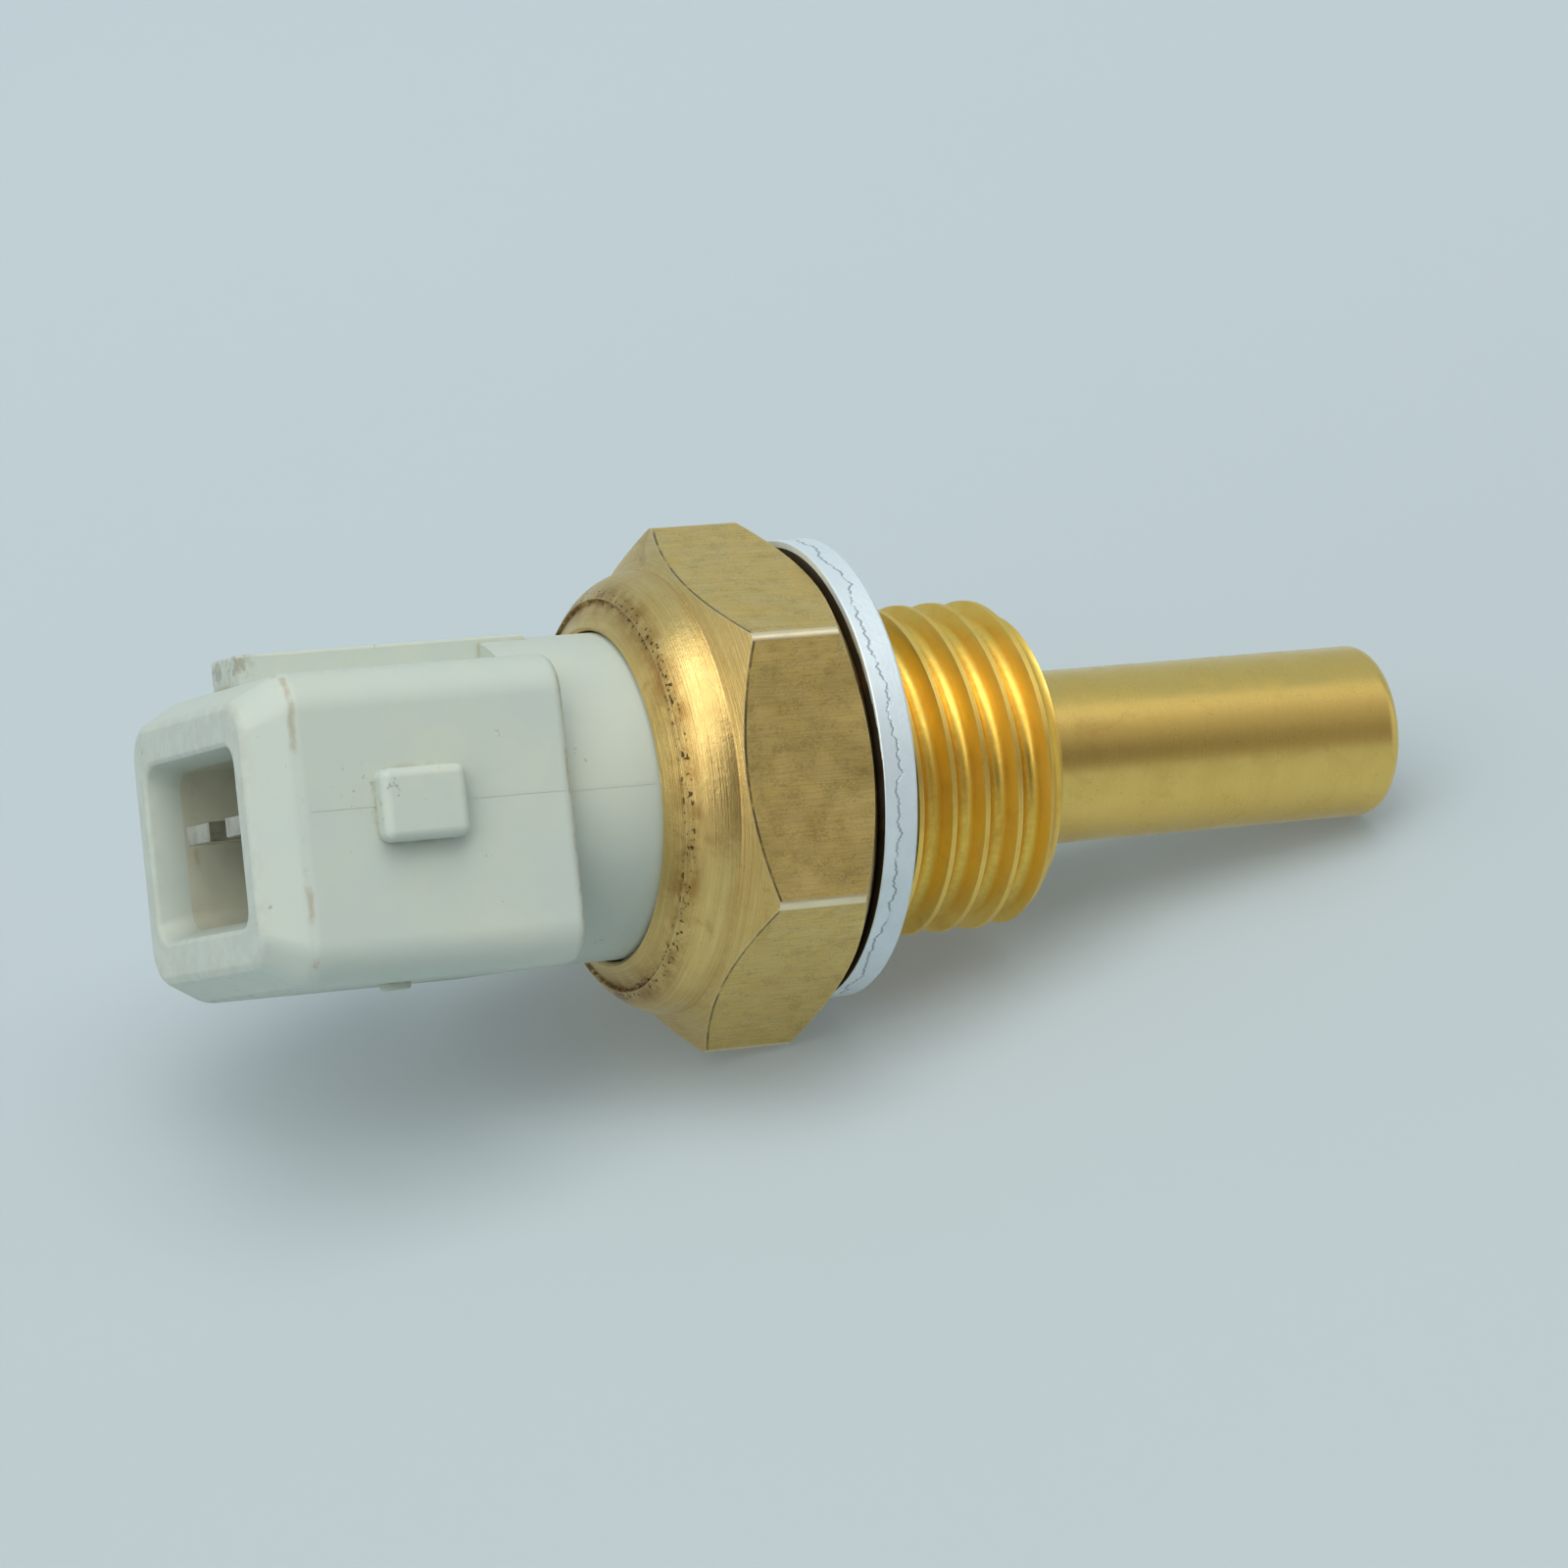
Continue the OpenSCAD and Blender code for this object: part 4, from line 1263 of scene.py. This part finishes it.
@dataclass
class Studio:
    """Pale floor and backdrop, soft light and the camera at the photograph's angle."""

    pose: Pose
    theta: float = 66.532
    beta: float = 5.014
    roll: float = 27.5
    distance: float = 273.6
    focal_px: float = 6705.0
    aim: Point = (0.077, 0.157)
    picture: int = 1600
    floor_colour: Colour = (0.505, 0.585, 0.600)
    backdrop_colour: Colour = (0.555, 0.665, 0.720)
    matt_colour: Colour = (0.47, 0.545, 0.575)
    contact_shadow_colour: Colour = (0.14, 0.13, 0.095)
    glow_share: float = 0.32
    mirrored_share: float = 0.7

    def make_floor(self) -> None:
        """A floor that curves up into a backdrop."""
        outline = [(-2.0, 0.0), (0.5, 0.0)]
        outline += [(0.5 + x, z) for x, z in arc((0, 0.35), 0.35, -90, 0, 24)][1:] + [(0.85, 2.2)]
        bpy.ops.mesh.primitive_plane_add(size=0.1, location=(0, outline[0][0], 0))
        floor = bpy.context.object
        floor.name = "floor"
        bpy.ops.object.transform_apply(location=True, rotation=True, scale=True)
        with editing(floor, "VERT"):
            bpy.ops.mesh.select_all(action="SELECT")
            bpy.ops.mesh.merge(type="CENTER")
            for here, there in zip(outline, outline[1:]):
                step = (0, there[0] - here[0], there[1] - here[1])
                bpy.ops.mesh.extrude_region_move(TRANSFORM_OT_translate={"value": step})
            bpy.ops.mesh.select_all(action="SELECT")
            bpy.ops.transform.translate(value=(-2.5, 0, 0))
            bpy.ops.mesh.extrude_region_move(TRANSFORM_OT_translate={"value": (5, 0, 0)})
        bpy.ops.object.shade_smooth()
        turn_to_view = Matrix.Rotation(math.radians(-20), 4, "Z")
        floor.data.transform(turn_to_view)
        material, s, body = new_material("floor_paper")
        coords = s.add("TexCoord").outputs["Object"]
        cloud = s.noise(coords, 9, 4, 0.5)
        depth = s.ramp(s.add("SeparateXYZ", Vector=coords).outputs["Y"], -0.05, 0.12)
        pale = s.blend(depth, self.floor_colour, self.backdrop_colour)
        matt = s.blend(depth, self.matt_colour, tuple(c * 1.1 for c in self.matt_colour))
        # Painted shadow: the floor darkens to a warm grey where the sensor's occlusion reaches it.
        open_sky = s.add("AmbientOcclusion", {"samples": 8}, Distance=0.007).outputs["AO"]
        contact_shadow = s.ramp(open_sky, 0.95, 0.40)
        pale = s.blend(s.math("MULTIPLY", contact_shadow, 0.35), pale, self.contact_shadow_colour)
        matt = s.blend(s.math("MULTIPLY", contact_shadow, 0.14), matt, self.contact_shadow_colour)
        s.feed(body, "Base Color", s.blend(s.ramp(cloud, 0.3, 0.7, 0, 0.04), matt, (0.9, 0.9, 0.9)))
        glow = s.add("Emission", Color=pale, Strength=1.0)
        rays = s.add("LightPath").outputs
        mirrored = s.math("MAXIMUM", rays["Is Glossy Ray"], rays["Is Transmission Ray"])
        seen = s.math("MULTIPLY", rays["Is Camera Ray"], self.glow_share)
        seen = s.math("MAXIMUM", seen, s.math("MULTIPLY", mirrored, self.mirrored_share))
        mixed = s.add("MixShader")
        s.feed(mixed, 0, seen)
        s.feed(mixed, 1, body.outputs[0])
        s.feed(mixed, 2, glow.outputs[0])
        s.feed(next(n for n in s.tree.nodes if n.type == "OUTPUT_MATERIAL"), "Surface", mixed.outputs[0])
        body.inputs["Roughness"].default_value = 0.55
        body.inputs["Specular IOR Level"].default_value = 0.25
        floor.data.materials.append(material)

    def make_light(self, name: str, place: tuple[float, float, float], size: tuple[float, float], power: float, colour: Colour) -> None:
        """Adds a soft rectangular lamp that looks at the sensor.

        Args:
            name: Name of the lamp.
            place: Where it stands, in metres.
            size: Its width and height, in metres.
            power: Its power, in watts.
            colour: Its colour.
        """
        lamp = bpy.data.lights.new(name, "AREA")
        lamp.shape = "RECTANGLE"
        lamp.size, lamp.size_y = size
        lamp.energy = power
        lamp.color = colour
        holder = bpy.data.objects.new(name, lamp)
        bpy.context.scene.collection.objects.link(holder)
        holder.location = place
        aim = Vector((0, 0, 0.01)) - Vector(place)
        holder.rotation_euler = aim.to_track_quat("-Z", "Y").to_euler()

    def make_world(self) -> None:
        """A pale tent that darkens towards the viewer's side."""
        world = bpy.data.worlds.new("tent")
        bpy.context.scene.world = world
        world.use_nodes = True
        s = Shader(world.node_tree)
        direction = s.add("TexCoord").outputs["Generated"]
        toward = s.add("VectorMath", {"operation": "DOT_PRODUCT"})
        s.feed(toward, 0, direction)
        s.feed(toward, 1, (0.08, -0.90, 0.42))
        front = s.ramp(toward.outputs["Value"], 0.35, 0.95)
        colour = s.blend(front, (0.74, 0.78, 0.80), (0.36, 0.35, 0.33))
        colour = s.blend(s.ramp(toward.outputs["Value"], 0.85, 0.94), colour, (0.02, 0.017, 0.013))
        back = s.add("Background", Color=colour, Strength=1.0)
        out = s.add("OutputWorld")
        s.feed(out, "Surface", back.outputs[0])

    def make_camera(self) -> None:
        """The camera that was fitted to the photograph's thread, washer, hexagon, probe and housing."""
        tilt, roll = math.radians(self.pose.tilt), math.radians(self.roll)
        theta, beta = math.radians(self.theta), math.radians(self.beta)
        axis = Vector((math.cos(tilt), 0, -math.sin(tilt)))
        up = Vector((math.sin(tilt), 0, math.cos(tilt)))
        side = Vector((0, -1, 0))
        v = math.cos(roll) * up - math.sin(roll) * side
        w = math.sin(roll) * up + math.cos(roll) * side
        right = math.sin(theta) * math.cos(beta) * axis - math.sin(beta) * v + math.cos(theta) * math.cos(beta) * w
        top = math.sin(theta) * math.sin(beta) * axis + math.cos(beta) * v + math.cos(theta) * math.sin(beta) * w
        toward = -math.cos(theta) * axis + math.sin(theta) * w
        aim = Vector((-self.pose.middle, 0, self.pose.height))
        place = (aim - self.aim[0] * right - self.aim[1] * top + self.distance * toward) * MM
        data = bpy.data.cameras.new("camera")
        data.sensor_width = 36
        data.lens = self.focal_px * 36 / self.picture
        data.clip_start, data.clip_end = 0.01, 20
        camera = bpy.data.objects.new("camera", data)
        bpy.context.scene.collection.objects.link(camera)
        turned = Matrix((right, top, toward)).transposed().to_4x4()
        camera.matrix_world = Matrix.Translation(place) @ turned
        bpy.context.scene.camera = camera
        bpy.context.scene.view_settings.view_transform = "Standard"

    def build(self) -> None:
        """Sets up the floor, the light and the camera."""
        self.make_floor()
        self.make_world()
        self.make_light("over", (0.03, -0.10, 0.75), (0.6, 0.55), 2.8, (1.0, 0.99, 0.97))
        self.make_light("front_left", (-0.44, -0.34, 0.60), (0.5, 0.5), 1.8, (1.0, 0.985, 0.96))
        self.make_camera()


def main() -> None:
    """Builds the sensor's pieces in order, then the studio round them."""
    logging.basicConfig(level=logging.INFO, format="%(message)s", stream=sys.stdout)
    pose = Pose(tilt=12.192444, height=9.244570, middle=0.072093)
    fx = Effects()
    for part in (BrassBody(pose), SealingWasher(pose), Housing(pose)):
        made = part.build(fx)
        log.info("%s: %d faces", made.name, len(made.data.polygons))
    tin = MetalFinish("terminal_tin", (0.56, 0.54, 0.46), (0.40, 0.38, 0.31), 0.42)
    for name, side in (("terminal_near", 1), ("terminal_far", -1)):
        made = Terminal(pose, name, side).build(tin, fx)
        log.info("%s: %d faces", made.name, len(made.data.polygons))
    log.info("inner pieces dressed: %d", InnerPieces(pose).build(fx))
    Studio(pose).build()


if __name__ == "__main__":
    main()
